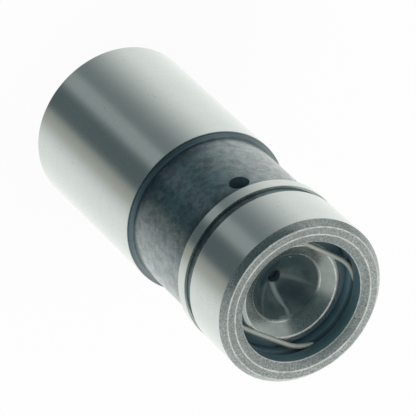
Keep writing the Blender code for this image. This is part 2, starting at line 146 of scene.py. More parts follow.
class LifterBodySettings(bpy.types.PropertyGroup):
    """Sizes and finishes of the turned body."""

    radius: length("Radius", "Outer radius of the ground lands", BODY_HIGH.x)
    height: length("Length", "Length from the foot to the open end", BODY_HIGH.z)
    wall: length("Wall", "Thickness of the wall round the bore", 2.95 * MM)
    foot: length("Foot", "Thickness of the foot under the bore", 5.5 * MM)
    foot_edge: length("Foot edge", "Break on the foot's edge", 0.15 * MM)
    floor_fillet: length("Floor fillet", "Round corner at the bottom of the bore", 1.0 * MM)
    upper_land: length("Upper land", "From the open end down to the narrow groove", 8.45 * MM)
    groove_length: length("Groove length", "Length of the narrow groove", 1.45 * MM)
    groove_depth: length("Groove depth", "Depth of the narrow groove", 0.35 * MM)
    thin_land: length("Thin land", "Length of the land between the groove and the waist", 1.7 * MM)
    waist_length: length("Waist length", "Length of the oiled waist", 13.7 * MM)
    waist_depth: length("Waist depth", "Depth of the oiled waist", 0.68 * MM)
    waist_fillet: length("Waist fillet", "Round corner at both ends of the waist", 0.5 * MM)
    chamfer_width: length("Chamfer width", "Width of the chamfer at the open end", 0.73 * MM)
    chamfer_height: length("Chamfer height", "Height of the chamfer at the open end", 0.88 * MM)
    mouth_width: length("Mouth width", "Width of the cone at the bore's mouth", 1.2 * MM)
    mouth_depth: length("Mouth depth", "Depth of the cone at the bore's mouth", 0.4 * MM)
    oil_hole: length("Oil hole radius", "Radius of the oil hole in the waist", 1.29 * MM)
    oil_hole_drop: length("Oil hole drop", "From the thin land down to the oil hole's middle", 2.25 * MM)
    edge_round: length("Edge round", "Worn round on the turned edges", 0.06 * MM)
    face_round: length("Face round", "Worn round on the edges of the end face", 0.1 * MM)
    # Painted shade: how far a darker tone reaches from each end of the waist, on its shaded side
    foot_shade: length("Foot shade", "How far the dark oil reaches up from the foot of the waist", 3.6 * MM)
    top_shade: length("Top shade", "How far the dark oil reaches down from the top of the waist", 2.4 * MM)
    wall_shade: length("Wall shade", "How far the tone of the waist's lower wall reaches up", 0.8 * MM)
    ground: colour("Ground steel", "Lands and foot", (0.6, 0.645, 0.613))
    blackened: colour("Blackened steel", "Oiled waist", (0.197, 0.254, 0.25))
    # Painted shade: the darker tone at the waist's ends and in the groove, on the shaded side
    groove: colour("Groove", "Shaded side of the narrow groove and of the waist's ends", (0.022, 0.056, 0.07))
    # Painted light and shade on the waist's lower wall and round corner: darker on the shaded side, lighter
    # away from it
    corner: colour("Waist corner", "Wall and round corner at the foot of the waist", (0.14, 0.22, 0.255))
    lit_corner: colour("Lit corner", "The same wall and corner away from the oily side", (0.32, 0.385, 0.4))
    # Painted shade: the waist's darker tone on its shaded side; also the groove's tone, partly its own and
    # partly painted shade
    shaded: colour("Shaded side", "Shaded side of the waist, and the rest of the groove", (0.042, 0.118, 0.134))
    face: colour("Blasted face", "End ring round the mouth", (0.565, 0.61, 0.585))
    chamfer: colour("Chamfer", "Blasted chamfer at the open end", (0.495, 0.535, 0.52))
    mouth: colour("Mouth cone", "Blasted cone at the bore's mouth", (0.43, 0.475, 0.465))
    bore: colour("Bore", "Blued wall of the bore", (0.038, 0.083, 0.1))
    # Painted light in the bore: lighter tones round the seat, next to the mouth and on the far side, and
    # how far they reach
    seat_light_reach: length("Light round the seat", "How far the lighter oil reaches up from the seat", 2.6 * MM)
    mouth_light_reach: length("Light by the mouth", "How far the lighter oil reaches down from the mouth", 1.6 * MM)
    # Painted light: the lighter tone round the seat; also the base tone of the seat's shoulder
    deep: colour("Deep bore", "Oil in the bore, round the seat", (0.063, 0.132, 0.165))
    lit_deep_bore: colour("Lighter tone in the deep bore", "Oil round the seat where it is thin", (0.15, 0.26, 0.3))
    lit_bore: colour("Lighter tone", "Bore on the side where the oil is thin", (0.082, 0.153, 0.18))
    bore_top: colour("Top of the bore", "Lighter tone in the bore, next to the mouth", (0.06, 0.13, 0.14))
    # The clip groove is blued and set lighter than the bore, partly painted light against the shade in it;
    # lighter still on the far side
    clip_groove: colour("Clip groove", "Blued groove for the clip", (0.055, 0.11, 0.13))
    lit_clip_groove: colour("Lighter tone in the groove", "Clip groove where the oil is thin", (0.1, 0.185, 0.22))
    # Painted shade: the oil hole's wall is made dark, standing in for the shade inside the hole
    hole: colour("Oil hole", "Wall of the oil hole", (0.04, 0.088, 0.11))
    worn_edge: colour("Worn edge", "Bright line on the worn edges", (0.88, 0.9, 0.87))


class ClipSettings(bpy.types.PropertyGroup):
    """Sizes and finish of the wire clip in the bore."""

    wire: length("Wire radius", "Radius of the wire", 0.33 * MM)
    groove_depth: length("Groove depth", "Depth of the clip's groove in the bore", 0.83 * MM)
    side_play: length("Side play", "Room above and under the wire in its groove", 0.15 * MM)
    floor_play: length("Floor play", "Room between the wire and the groove's floor", 0.05 * MM)
    taper: angle("Leg taper", "How far each leg leans in towards its open end", 1.2)
    bend_off_middle: length("Bend off middle", "From the middle line to the bends' centres", 1.25 * MM)
    tip_bend: angle("Tip bend", "How far the front of each leg bends into the groove", 50.0)
    other_tip_bend: angle("Other tip bend", "How far the other leg's tip bends in", 43.0)
    leg_shift: length("Leg shift", "How far the first leg lies further out than the other", 0.12 * MM)
    dressed_tip: length("Dressed tip", "Length of the taper on each tip", 1.4 * MM)
    open_side: angle("Open side", "Direction of the open ends", 137.2)
    wire_colour: colour("Wire", "Drawn spring wire", (0.52, 0.55, 0.49))


class SeatSettings(bpy.types.PropertyGroup):
    """Sizes and finishes of the pushrod seat."""

    below_face: length("Below face", "From the open end down to the seat's rim", 3.14 * MM)
    height: length("Length", "Length of the seat", 6.3 * MM)
    land: length("Rim land", "Width of the flat land outside the rim, under the clip's legs", 0.5 * MM)
    shoulder_width: length("Shoulder width", "Width of the sloped shoulder outside the land", 1.35 * MM)
    shoulder_drop: length("Shoulder drop", "Height of the sloped shoulder", 1.08 * MM)
    dish_width: length("Dish width", "Width of the dished top", 1.71 * MM)
    dish_depth: length("Dish depth", "Depth of the dished top", 1.2 * MM)
    foot_break: length("Foot break", "Break on the lower edge", 0.3 * MM)
    socket_depth: length("Socket depth", "Depth of the round socket under the dish", 3.24 * MM)
    metering_hole: length("Metering hole radius", "Radius of the hole in the socket", 0.84 * MM)
    recess: length("Recess radius", "Radius of the recess under the seat", 3.2 * MM)
    recess_depth: length("Recess depth", "Depth of the recess under the seat", 0.45 * MM)
    recess_cone: length("Recess cone", "Height of the cone above the recess", 0.4 * MM)
    rim_round: length("Rim round", "Worn round on the rim", 0.1 * MM)
    mouth_round: length("Socket mouth round", "Worn round on the socket's mouth", 0.24 * MM)
    steel: colour("Satin steel", "Dish and rim land", (0.41, 0.455, 0.435))
    socket: colour("Socket", "Dark oil film in the socket", (0.056, 0.088, 0.092))
    # A lighter tone next to the socket's mouth, and how far down it reaches
    mouth_band_reach: length("Mouth band", "How far the thin oil reaches down from the socket's mouth", 1.8 * MM)
    thin: colour("Lighter tone", "Oil film next to the socket's mouth", (0.1, 0.132, 0.134))
    # Painted shadow: the tone of the dark marks in the socket
    thick: colour("Shadow marks", "Dark patches in the oil film", (0.022, 0.045, 0.055))
    hole: colour("Metering hole", "Wall of the metering hole", (0.06, 0.11, 0.135))
    # Painted shade: the darker tone on one side of the socket mouth's worn edge
    shaded_edge_tone: colour("Shaded edge", "Edge of the socket's mouth where oil lies on it", (0.2, 0.26, 0.27))
    # Painted light: the seat shoulder's lighter tone on the far side
    lit_shoulder: colour("Lit shoulder", "Shoulder where the oil is thin", (0.15, 0.24, 0.265))
    # Painted highlights and reflections: the tones of the light marks in the socket
    smear: colour("Highlight marks", "Light marks in the oil film", (0.2, 0.265, 0.265))
    glimmer: colour("Grey highlight", "Grey mark in the oil film", (0.13, 0.165, 0.158))


class PlungerSettings(bpy.types.PropertyGroup):
    """Sizes and finishes of the plunger and the metering disc."""

    bore_clearance: length("Bore clearance", "Room between the plunger and the bore", 0.05 * MM)
    chamber: length("Chamber height", "Height of the pressure chamber under the plunger", 10.08 * MM)
    wall: length("Wall", "Thickness of the wall round the reservoir", 2.9 * MM)
    edge_break: length("Edge break", "Break on both end edges", 0.3 * MM)
    floor: length("Floor", "Thickness of the floor over the check valve", 2.4 * MM)
    floor_fillet: length("Floor fillet", "Round corner at the bottom of the reservoir", 0.8 * MM)
    port: length("Check port radius", "Radius of the port that the ball closes", 1.7 * MM)
    port_cone_drop: length("Port cone drop", "Fall of the reservoir's floor towards the port", 0.5 * MM)
    valve_cone: length("Valve cone width", "Width of the cone that the ball closes on", 0.4 * MM)
    top_land: length("Top land", "Length of the land over the oil waist", 1.3 * MM)
    waist_length: length("Oil waist length", "Length of the oil waist", 6.6 * MM)
    waist_depth: length("Oil waist depth", "Depth of the oil waist", 0.8 * MM)
    waist_slope: length("Oil waist slope", "Height of the slopes into the oil waist", 0.3 * MM)
    feed_hole: length("Feed hole radius", "Radius of the feed hole in the oil waist", 0.8 * MM)
    disc_rim: length("Disc recess rim", "Width of the rim round the disc's recess", 1.5 * MM)
    disc_thickness: length("Disc thickness", "Thickness of the metering disc", 0.4 * MM)
    disc_clearance: length("Disc clearance", "Room round the metering disc", 0.2 * MM)
    disc_edge: length("Disc edge", "Break on the disc's edges", 0.1 * MM)
    ground: colour("Plunger steel", "Finely ground plunger", (0.6, 0.61, 0.6))
    lapped: colour("Disc steel", "Lapped disc under its oil", (0.4, 0.53, 0.57))


class CheckValveSettings(bpy.types.PropertyGroup):
    """Sizes and finishes of the ball, its cage and its spring."""

    ball: length("Ball radius", "Radius of the ball", 2.4 * MM)
    cage_wall: length("Cage wall", "Thickness of the cage's cup", 0.5 * MM)
    ball_clearance: length("Ball clearance", "Room between the ball and the cup", 0.35 * MM)
    cup_depth: length("Cup depth", "Depth of the cup under the flange", 4.8 * MM)
    corner_fillet: length("Corner fillet", "Round corner at the bottom of the cup", 0.5 * MM)
    floor_hole: length("Floor hole radius", "Radius of the hole in the cup's floor", 0.9 * MM)
    flange_thickness: length("Flange thickness", "Thickness of the flange", 0.6 * MM)
    flange_clearance: length("Flange clearance", "Room round the flange in its pocket", 0.2 * MM)
    pocket_lip: length("Pocket lip", "Width of the lip round the cage's pocket", 0.8 * MM)
    pocket_depth: length("Pocket depth", "Depth of the cage's pocket", 0.8 * MM)
    window_width: length("Window width", "Width of the cage's windows", 1.8 * MM)
    window_height: length("Window height", "Height of the cage's windows", 3.2 * MM)
    window_sill: length("Window sill", "From the cup's floor up to the windows", 0.7 * MM)
    spring_wire: length("Spring wire radius", "Radius of the ball spring's wire", 0.15 * MM)
    spring_top: length("Spring top radius", "Radius of the coil under the ball", 1.5 * MM)
    spring_foot: length("Spring foot radius", "Radius of the coil on the cup's floor", 2.2 * MM)
    polished: colour("Ball steel", "Polished ball", (0.72, 0.73, 0.74))
    pressed: colour("Cage steel", "Pressed cage", (0.5, 0.5, 0.48))
    spring: colour("Ball spring", "Drawn wire of the ball spring", (0.5, 0.5, 0.5))


class MainSpringSettings(bpy.types.PropertyGroup):
    """Sizes and finish of the spring under the plunger."""

    wire: length("Wire radius", "Radius of the wire", 0.6 * MM)
    side_play: length("Side play", "Room between the coils and the bore", 1.45 * MM)
    closed_pitch: length("Closed pitch", "Rise of each closed end coil", 1.35 * MM)
    wire_colour: colour("Wire", "Drawn spring wire", (0.42, 0.42, 0.42))


class StudioSettings(bpy.types.PropertyGroup):
    """The camera, the lamp and the tones that the steel reflects."""

    look_at: position("Look at", "Point on the camera's axis", (-0.403 * MM, -0.24 * MM, 24.863 * MM))
    azimuth: angle("Azimuth", "Direction of the camera round the lifter", -59.2)
    elevation: angle("Elevation", "Height of the camera over the floor", 50.193)
    roll: angle("Roll", "Turn of the camera round its own axis", 133.473)
    distance: length("Distance", "From the camera to the point it looks at", 671.62 * MM)
    lens: FloatProperty(name="Lens", description="Focal length", default=466.27, unit="CAMERA")
    lamp_power: FloatProperty(name="Lamp power", description="Power of the lamp", default=0.7, unit="POWER")
    lamp_size: length("Lamp size", "Width of the round lamp", 350.0 * MM)
    lamp_place: position("Lamp place", "Middle of the lamp, which faces the foot", (0.25, 0.2, 0.8))
    floor_radius: length("Floor radius", "Radius of the floor", 2500.0 * MM)
    floor_tone: colour("Floor", "Tone of the floor that takes the shadow", (0.94, 0.945, 0.94))
    floor_glow: share("Floor glow", "Share of the floor that is plain backdrop", 0.93)
    backdrop: colour("Backdrop", "Tone behind the lifter", (1.0, 1.0, 1.0))
    fill: colour("Fill light", "Even light on all that isn't glossy", (0.8, 0.8, 0.8))
    table: colour("Table", "Tone of the light tent below the horizon", (1.0, 1.0, 1.0))
    tent_top: colour("Tent top", "Tone of the light tent above the horizon", (0.61, 0.62, 0.615))


SETTINGS = {
    "lifter_body_settings": LifterBodySettings,
    "lifter_clip_settings": ClipSettings,
    "lifter_seat_settings": SeatSettings,
    "lifter_plunger_settings": PlungerSettings,
    "lifter_check_settings": CheckValveSettings,
    "lifter_spring_settings": MainSpringSettings,
    "lifter_studio_settings": StudioSettings,
}

# The gap between pieces that rest on each other, and the springs' turns
REST_GAP = 0.08 * MM
CLOSED_TURNS = 1.0
MAIN_SPRING_TURNS = 5.0
CHECK_SPRING_TURNS = 3.0


def fitted_sizes(scene):
    """Radii and heights that follow from the settings, shared by pieces that fit each other."""
    body, clip, seat = scene.lifter_body_settings, scene.lifter_clip_settings, scene.lifter_seat_settings
    plunger, check = scene.lifter_plunger_settings, scene.lifter_check_settings
    spring = scene.lifter_spring_settings
    fit = SimpleNamespace()
    fit.groove_top = body.height - body.upper_land
    fit.groove_foot = fit.groove_top - body.groove_length
    fit.waist_top = fit.groove_foot - body.thin_land
    fit.waist_foot = fit.waist_top - body.waist_length
    fit.oil_hole_height = fit.waist_top - body.oil_hole_drop
    fit.bore = body.radius - body.wall
    fit.plunger = fit.bore - plunger.bore_clearance
    fit.land = fit.plunger - seat.shoulder_width
    fit.rim = fit.land - seat.land
    fit.socket_mouth = fit.rim - seat.dish_width
    fit.socket = (fit.socket_mouth**2 + seat.socket_depth**2) / (2.0 * seat.socket_depth)
    fit.seat_top = body.height - seat.below_face
    fit.seat_foot = fit.seat_top - seat.height
    fit.clip_height = fit.seat_top + REST_GAP + clip.wire
    fit.plunger_top = fit.seat_foot - REST_GAP
    fit.plunger_foot = body.foot + plunger.chamber
    fit.pocket = fit.plunger - check.pocket_lip
    fit.pocket_roof = fit.plunger_foot + check.pocket_depth
    fit.valve_edge = fit.pocket_roof + plunger.valve_cone
    # The ball closes on a cone of 45 degrees
    fit.ball_height = fit.valve_edge + plunger.port - math.sqrt(2.0) * (check.ball + REST_GAP)
    fit.flange = fit.pocket - check.flange_clearance
    fit.flange_top = fit.pocket_roof - REST_GAP
    fit.flange_foot = fit.flange_top - check.flange_thickness
    fit.cup_floor = fit.flange_foot - check.cup_depth
    fit.cup_inner = check.ball + check.ball_clearance
    fit.cup_outer = fit.cup_inner + check.cage_wall
    fit.main_spring = fit.bore - spring.side_play - spring.wire
    return fit


# Modelling


def arc(centre_radius, centre_height, radius, start, end, steps=CORNER_STEPS):
    """Points of a round corner in an outline, as (radius, height), between two angles in degrees."""
    points = []
    for step in range(steps + 1):
        turn = math.radians(start + (end - start) * step / steps)
        points.append((centre_radius + radius * math.cos(turn), centre_height + radius * math.sin(turn)))
    return points


def to_mesh(name, shape):
    """Writes a shape that was modelled in millimetres as a mesh in metres."""
    bmesh.ops.scale(shape, vec=(MM, MM, MM), verts=shape.verts)
    mesh = bpy.data.meshes.new(name)
    shape.to_mesh(mesh)
    shape.free()
    mesh.shade_smooth()
    return mesh


def round_corners(shape, low, high, radius, round_finish):
    """Rounds the sharp edges between two heights and gives the round its finish."""
    corners = [
        edge
        for edge in shape.edges
        if edge.is_manifold
        and edge.calc_face_angle(0.0) > SHARP_CORNER
        and low / MM <= edge.verts[0].co.z < high / MM
        and low / MM <= edge.verts[1].co.z < high / MM
    ]
    result = bmesh.ops.bevel(
        shape,
        geom=corners,
        offset=radius / MM,
        offset_type="OFFSET",
        affect="EDGES",
        segments=ROUND_SEGMENTS,
        profile=0.5,
        material=-1,
        clamp_overlap=True,
    )
    for face in result["faces"]:
        face.material_index = round_finish


def turned_mesh(name, outline, steps, closed_outline=False, rounds=(), round_finish=0):
    """A turned piece: the outline in (radius, height) is spun once round the Z axis.

    The rounds are pairs of a height and the radius of the edges from there up to the next pair's height.
    """
    shape = bmesh.new()
    verts = [shape.verts.new((radius / MM, 0.0, height / MM)) for radius, height in outline]
    edges = [shape.edges.new(pair) for pair in zip(verts, verts[1:])]
    if closed_outline:
        edges.append(shape.edges.new((verts[-1], verts[0])))
    bmesh.ops.spin(
        shape,
        geom=verts + edges,
        cent=(0.0, 0.0, 0.0),
        axis=(0.0, 0.0, 1.0),
        dvec=(0.0, 0.0, 0.0),
        angle=2.0 * math.pi,
        steps=steps,
        use_merge=True,
        use_normal_flip=False,
        use_duplicate=False,
    )
    bmesh.ops.remove_doubles(shape, verts=shape.verts, dist=SAME_PLACE / MM)
    bmesh.ops.recalc_face_normals(shape, faces=shape.faces)
    tops = [low for low, radius in rounds[1:]] + [math.inf]
    for (low, radius), high in zip(rounds, tops):
        round_corners(shape, low, high, radius, round_finish)
    return to_mesh(name, shape)


def link(name, data):
    thing = bpy.data.objects.new(name, data)
    bpy.context.scene.collection.objects.link(thing)
    return thing


def cylinder_cutter(name, radius, start, end):
    start, end = Vector(start) / MM, Vector(end) / MM
    shape = bmesh.new()
    bmesh.ops.create_cone(
        shape,
        cap_ends=True,
        segments=HOLE_SIDES,
        radius1=radius / MM,
        radius2=radius / MM,
        depth=(end - start).length,
    )
    turn = (end - start).to_track_quat("Z", "Y").to_matrix().to_4x4()
    bmesh.ops.transform(shape, matrix=Matrix.Translation((start + end) / 2.0) @ turn, verts=shape.verts)
    return link(name, to_mesh(name, shape))


def box_cutter(name, size, place, turn):
    shape = bmesh.new()
    bmesh.ops.create_cube(shape, size=1.0)
    bmesh.ops.scale(shape, vec=Vector(size) / MM, verts=shape.verts)
    bmesh.ops.translate(shape, vec=Vector(place) / MM, verts=shape.verts)
    bmesh.ops.rotate(shape, cent=(0.0, 0.0, 0.0), matrix=Matrix.Rotation(turn, 3, "Z"), verts=shape.verts)
    return link(name, to_mesh(name, shape))


def finished_mesh(thing):
    """The object's mesh with its modifiers applied, or the mesh that a curve makes."""
    graph = bpy.context.evaluated_depsgraph_get()
    return bpy.data.meshes.new_from_object(
        thing.evaluated_get(graph), preserve_all_data_layers=True, depsgraph=graph
    )


def settle(thing):
    """Applies the object's modifiers to its mesh."""
    mesh = finished_mesh(thing)
    thing.modifiers.clear()
    thing.data = mesh


def cut_away(thing, *cutters):
    for cutter in cutters:
        modifier = thing.modifiers.new(cutter.name, "BOOLEAN")
        modifier.operation = "DIFFERENCE"
        modifier.solver = "EXACT"
        modifier.object = cutter
    settle(thing)
    for cutter in cutters:
        bpy.data.objects.remove(cutter)


def even_shading(thing):
    """Shades large faces flat to their own form, so that the small rounds carry the turn of the light."""
    thing.data.set_sharp_from_angle(angle=SHADING_CORNER)
    modifier = thing.modifiers.new("even_shading", "WEIGHTED_NORMAL")
    modifier.mode = "FACE_AREA"
    modifier.weight = SHADING_WEIGHT
    modifier.keep_sharp = True
    settle(thing)


def add_finishes(piece, *finishes):
    for finish in finishes:
        piece.data.materials.append(finish)


def pick_finishes(piece, finish_at):
    """Gives each face the finish that finish_at picks from the face's middle, normal and old finish."""
    for face in piece.data.polygons:
        face.material_index = finish_at(face.center, face.normal, face.material_index)


def wire_mesh(name, points, wire_radius, dressed=0.0):
    """Round wire along the points. Its tips are dressed to a taper over the given length and end flat."""
    curve = bpy.data.curves.new(name, "CURVE")
    curve.dimensions = "3D"
    curve.bevel_depth = wire_radius
    curve.bevel_resolution = WIRE_STEPS
    curve.use_fill_caps = True
    spline = curve.splines.new("POLY")
    spline.points.add(len(points) - 1)
    for place, point in zip(spline.points, points):
        place.co = (*point, 1.0)
        from_tip = min((Vector(point) - Vector(points[end])).length for end in (0, -1))
        if from_tip < dressed:
            place.radius = TIP_SHARE + (1.0 - TIP_SHARE) * math.sqrt(from_tip / dressed)
    thing = link(name, curve)
    mesh = finished_mesh(thing)
    bpy.data.objects.remove(thing)
    shape = bmesh.new()
    shape.from_mesh(mesh)
    bmesh.ops.remove_doubles(shape, verts=shape.verts, dist=SAME_PLACE)
    bmesh.ops.recalc_face_normals(shape, faces=shape.faces)
    shape.to_mesh(mesh)
    shape.free()
    mesh.shade_smooth()
    mesh.set_sharp_from_angle(angle=SHADING_CORNER)
    return mesh


def coil_points(turns, steps_per_turn, radius_at, height_at):
    """Points of a coil: radius and height are functions of the turns counted from the foot."""
    points = []
    for step in range(round(turns * steps_per_turn) + 1):
        turn = step / steps_per_turn
        radius = radius_at(turn)
        around = 2.0 * math.pi * turn
        points.append((radius * math.cos(around), radius * math.sin(around), height_at(turn)))
    return points


def stand_for(piece, node, body):
    """The piece takes the place of its CAD node, on the node's body."""
    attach(piece, body)
    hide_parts(node)


# Finishes

# Nearly all of a noise lies between these
NOISE_LOW, NOISE_HIGH = 0.3, 0.7

# Patterns drawn out round the axis: fine turning lines and streaks of oil
AROUND = (0.04, 0.04, 1.0)
LONG_STREAKS = (0.25, 0.25, 1.0)

BLACK = (0.0, 0.0, 0.0)

# The gain of the painted light on the dish's lit side, and the radius over which the end ring's painted
# shade grows
DISH_LIGHT_GAIN = 1.4
RING_SHADE_REACH = 10.0 * MM

# A mark is full within this share of its width, and is never thinner than the least taper
MARK_CORE = 0.3
LEAST_TAPER = 1e-4

# The film of oil on the blackened steel, whose gloss falls where it is thick
FILM_ROUGHNESS = 0.2
FILM_IOR = 1.9
FILM_GLOSS_LOW, FILM_GLOSS_HIGH = 0.7, 1.1
FILM_AT_LEAST = 0.2
THICK_FILM_LOSS = 0.5


class Side(NamedTuple):
    """A side of the lifter, and the shares of a radius along it where a tone begins and is full."""

    azimuth: float
    begins: float
    full: float


class Mark(NamedTuple):
    """A painted shadow or highlight on the socket's oil film, in millimetres. Its tone is one of the seat's
    settings.
    """

    name: str
    tone: str
    start: tuple
    end: tuple
    half_width: float
    strength: float
    bow: float = 0.0


# The sides of the lifter on which its finishes differ by painted light or painted shade
# Painted shade: the waist and its groove are darker towards this side
SHADE_AZIMUTH = math.radians(-62.0)
SHADED_SIDE = Side(SHADE_AZIMUTH, begins=0.65, full=1.0)
SHADED_WALL_SIDE = Side(SHADE_AZIMUTH, begins=0.0, full=0.5)
# Painted light: the bore and the seat's shoulder are lighter towards this far side
FAR_LIT_SIDE = Side(SHADE_AZIMUTH, begins=-0.95, full=-0.7)
# Painted shade: the end ring is darker towards this side
RING_SHADE_SIDE = Side(math.radians(-39.0), begins=-1.0, full=1.0)
# Painted light: the seat's dish is lighter towards this side
DISH_LIT_SIDE = Side(math.radians(12.0), begins=0.64, full=0.84)
# Painted shade: the edge of the socket's mouth is darker towards this side
EDGE_SHADE_SIDE = Side(math.radians(119.0), begins=0.78, full=0.92)

SOCKET_MARKS = (
    # Painted shadows: the two dark marks by the hole and under the rim
    Mark("shadow by the hole", "thick", (-0.9, -2.2), (2.3, 0.5), half_width=0.8, strength=0.8, bow=0.1),
    Mark("shadow under the rim", "thick", (-0.3, 0.8), (-3.2, 4.2), half_width=1.5, strength=0.65),
    # Painted highlights and reflections: the light marks
    Mark("long highlight", "smear", (0.3, -0.9), (-0.22, 4.1), half_width=0.42, strength=1.0, bow=-0.33),
    Mark("grey glimmer", "glimmer", (0.3, -0.45), (-4.1, 1.8), half_width=0.42, strength=0.6, bow=-0.05),
    Mark("faint highlight", "smear", (1.1, 0.35), (3.4, 3.0), half_width=0.36, strength=0.3),
    Mark("glint by the mouth", "smear", (-0.2, 3.75), (0.1, 4.6), half_width=0.3, strength=1.0),
    Mark("highlight along the mouth", "smear", (1.5, 4.15), (-0.8, 4.5), half_width=0.18, strength=0.9, bow=-0.1),
    Mark("far glint", "smear", (-2.1, -2.5), (-1.75, -2.9), half_width=0.16, strength=1.0),
)


class Pattern:
    """A node tree in which patterns and tones are worked out."""

    def __init__(self, tree):
        self.tree = tree

    def node(self, kind, **inputs):
        made = self.tree.nodes.new(kind)
        for name, value in inputs.items():
            self.feed(made.inputs[name.replace("_", " ")], value)
        return made

    def feed(self, socket, value):
        if isinstance(value, bpy.types.NodeSocket):
            self.tree.links.new(value, socket)
        else:
            socket.default_value = value

    def maths(self, operation, *values):
        made = self.node("ShaderNodeMath")
        made.operation = operation
        for socket, value in zip(made.inputs, values):
            self.feed(socket, value)
        return made.outputs["Value"]

    def mix(self, factor, first, second):
        made = self.node("ShaderNodeMix")
        made.data_type = "RGBA"
        self.feed(made.inputs["Factor"], factor)
        self.feed(made.inputs["A"], as_colour(first))
        self.feed(made.inputs["B"], as_colour(second))
        return made.outputs["Result"]

    def dot(self, place, direction):
        """How far a place lies along a direction."""
        made = self.node("ShaderNodeVectorMath")
        made.operation = "DOT_PRODUCT"
        self.feed(made.inputs[0], place)
        self.feed(made.inputs[1], direction)
        return made.outputs["Value"]

    def span(self, value, low, high, to_low=0.0, to_high=1.0, interpolation="LINEAR"):
        """Carries a value from one range to another and holds it there."""
        made = self.node("ShaderNodeMapRange", Value=value)
        made.clamp = True
        made.interpolation_type = interpolation
        for name, number in zip(("From Min", "From Max", "To Min", "To Max"), (low, high, to_low, to_high)):
            made.inputs[name].default_value = number
        return made.outputs["Result"]


class Metal(Pattern):
    """One procedural metal. Its patterns are laid out in millimetres on the piece's Object coordinates."""

    def __init__(self, name, metallic=1.0):
        self.material = bpy.data.materials.new(name)
        self.material.use_nodes = True
        super().__init__(self.material.node_tree)
        self.shader = self.tree.nodes["Principled BSDF"]
        self.shader.inputs["Metallic"].default_value = metallic
        self.place = self.node("ShaderNodeTexCoord").outputs["Object"]

    def noise(self, per_mm, detail=3.0, roughness=0.5, stretch=(1.0, 1.0, 1.0)):
        """Noise from 0 to 1, with so many features in a millimetre along each axis."""
        scale = [per_mm * axis / MM for axis in stretch]
        place = self.node("ShaderNodeMapping", Vector=self.place, Scale=scale).outputs["Vector"]
        noise = self.node("ShaderNodeTexNoise", Vector=place, Scale=1.0, Detail=detail, Roughness=roughness)
        return noise.outputs["Fac"]

    def vary(self, pattern, tone, dark, light, low=NOISE_LOW, high=NOISE_HIGH):
        """A tone that goes with the pattern from a dark share of itself to a light one."""
        return self.mix(self.span(pattern, low, high), shade(tone, dark), shade(tone, light))

    def lay(self, pattern, base, tone, most, low=NOISE_LOW, high=NOISE_HIGH):
        """Lays a tone over the base where the pattern is high, up to its greatest share."""
        return self.mix(self.span(pattern, low, high, 0.0, most), base, tone)

    def uneven(self, pattern, roughness, by=0.15):
        """A roughness that rises with the pattern by a share of itself to both sides."""
        return self.span(pattern, NOISE_LOW, NOISE_HIGH, roughness * (1.0 - by), roughness * (1.0 + by))

    def near_height(self, height, reach):
        """1 within a quarter of the reach from a height, and down to 0 at the reach above and below it."""
        own = self.node("ShaderNodeSeparateXYZ", Vector=self.place).outputs["Z"]
        off = self.maths("ABSOLUTE", self.maths("SUBTRACT", own, height))
        return self.span(off, reach / 4.0, reach, 1.0, 0.0)

    def toward(self, side, radius):
        """From 0 to 1 between a side's two shares of a radius."""
        direction = (math.cos(side.azimuth), math.sin(side.azimuth), 0.0)
        return self.span(self.dot(self.place, direction), side.begins * radius, side.full * radius)

    def stroke(self, mark):
        """1 along a mark's middle and 0 at its sides.

        The mark narrows to nothing at both ends, and its middle stands off the straight line by the bow.
        """
        start, end = Vector(mark.start) * MM, Vector(mark.end) * MM
        along = end - start
        local = self.node("ShaderNodeMapping", Vector=self.place)
        local.label = mark.name
        local.vector_type = "TEXTURE"
        local.inputs["Location"].default_value = (*((start + end) / 2.0), 0.0)
        local.inputs["Rotation"].default_value = (0.0, 0.0, math.atan2(along.y, along.x))
        parts = self.node("ShaderNodeSeparateXYZ", Vector=local.outputs["Vector"])
        reach = self.maths("ABSOLUTE", self.maths("DIVIDE", parts.outputs["X"], along.length / 2.0))
        curve = self.maths("SUBTRACT", 1.0, self.maths("POWER", reach, 2.0))
        taper = self.maths("SUBTRACT", 1.0, self.maths("POWER", reach, 4.0))
        half_width = self.maths("MULTIPLY", self.maths("MAXIMUM", taper, LEAST_TAPER), mark.half_width * MM)
        off = self.maths("SUBTRACT", parts.outputs["Y"], self.maths("MULTIPLY", curve, mark.bow * MM))
        share_off = self.maths("DIVIDE", self.maths("ABSOLUTE", off), half_width)
        return self.span(share_off, MARK_CORE, 1.0, 1.0, 0.0)

    def finish(self, base, roughness, height=None, depth=0.0):
        """Sets the colour, the roughness and, where given, the bump of so many metres."""
        self.feed(self.shader.inputs["Base Color"], base)
        self.feed(self.shader.inputs["Roughness"], roughness)
        if height is not None:
            bump = self.node("ShaderNodeBump", Height=height, Distance=depth)
            self.feed(self.shader.inputs["Normal"], bump.outputs["Normal"])
        return self.material


def as_colour(value):
    return value if isinstance(value, bpy.types.NodeSocket) else (*value, 1.0)


def shade(colour_value, factor):
    return tuple(min(1.0, channel * factor) for channel in colour_value)


def ground_finish(name, tone, roughness=0.18):
    """Ground steel: fine lines round the axis, faint clouds and a few dark specks."""
    metal = Metal(name)
    lines = metal.noise(per_mm=3.0, detail=2.0, stretch=AROUND)
    clouds = metal.noise(per_mm=0.12, detail=3.0)
    specks = metal.span(metal.noise(per_mm=3.2, detail=1.0), low=0.7, high=0.76)
    base = metal.mix(clouds, shade(tone, 0.97), shade(tone, 1.03))
    base = metal.lay(lines, base, shade(tone, 0.8), most=0.1)
    base = metal.mix(metal.maths("MULTIPLY", specks, 0.25), base, shade(tone, 0.5))
    rough = metal.uneven(lines, roughness, by=0.1)
    rough = metal.maths("ADD", rough, metal.maths("MULTIPLY", specks, 0.2))
    return metal.finish(base, rough, lines, depth=0.0004 * MM)


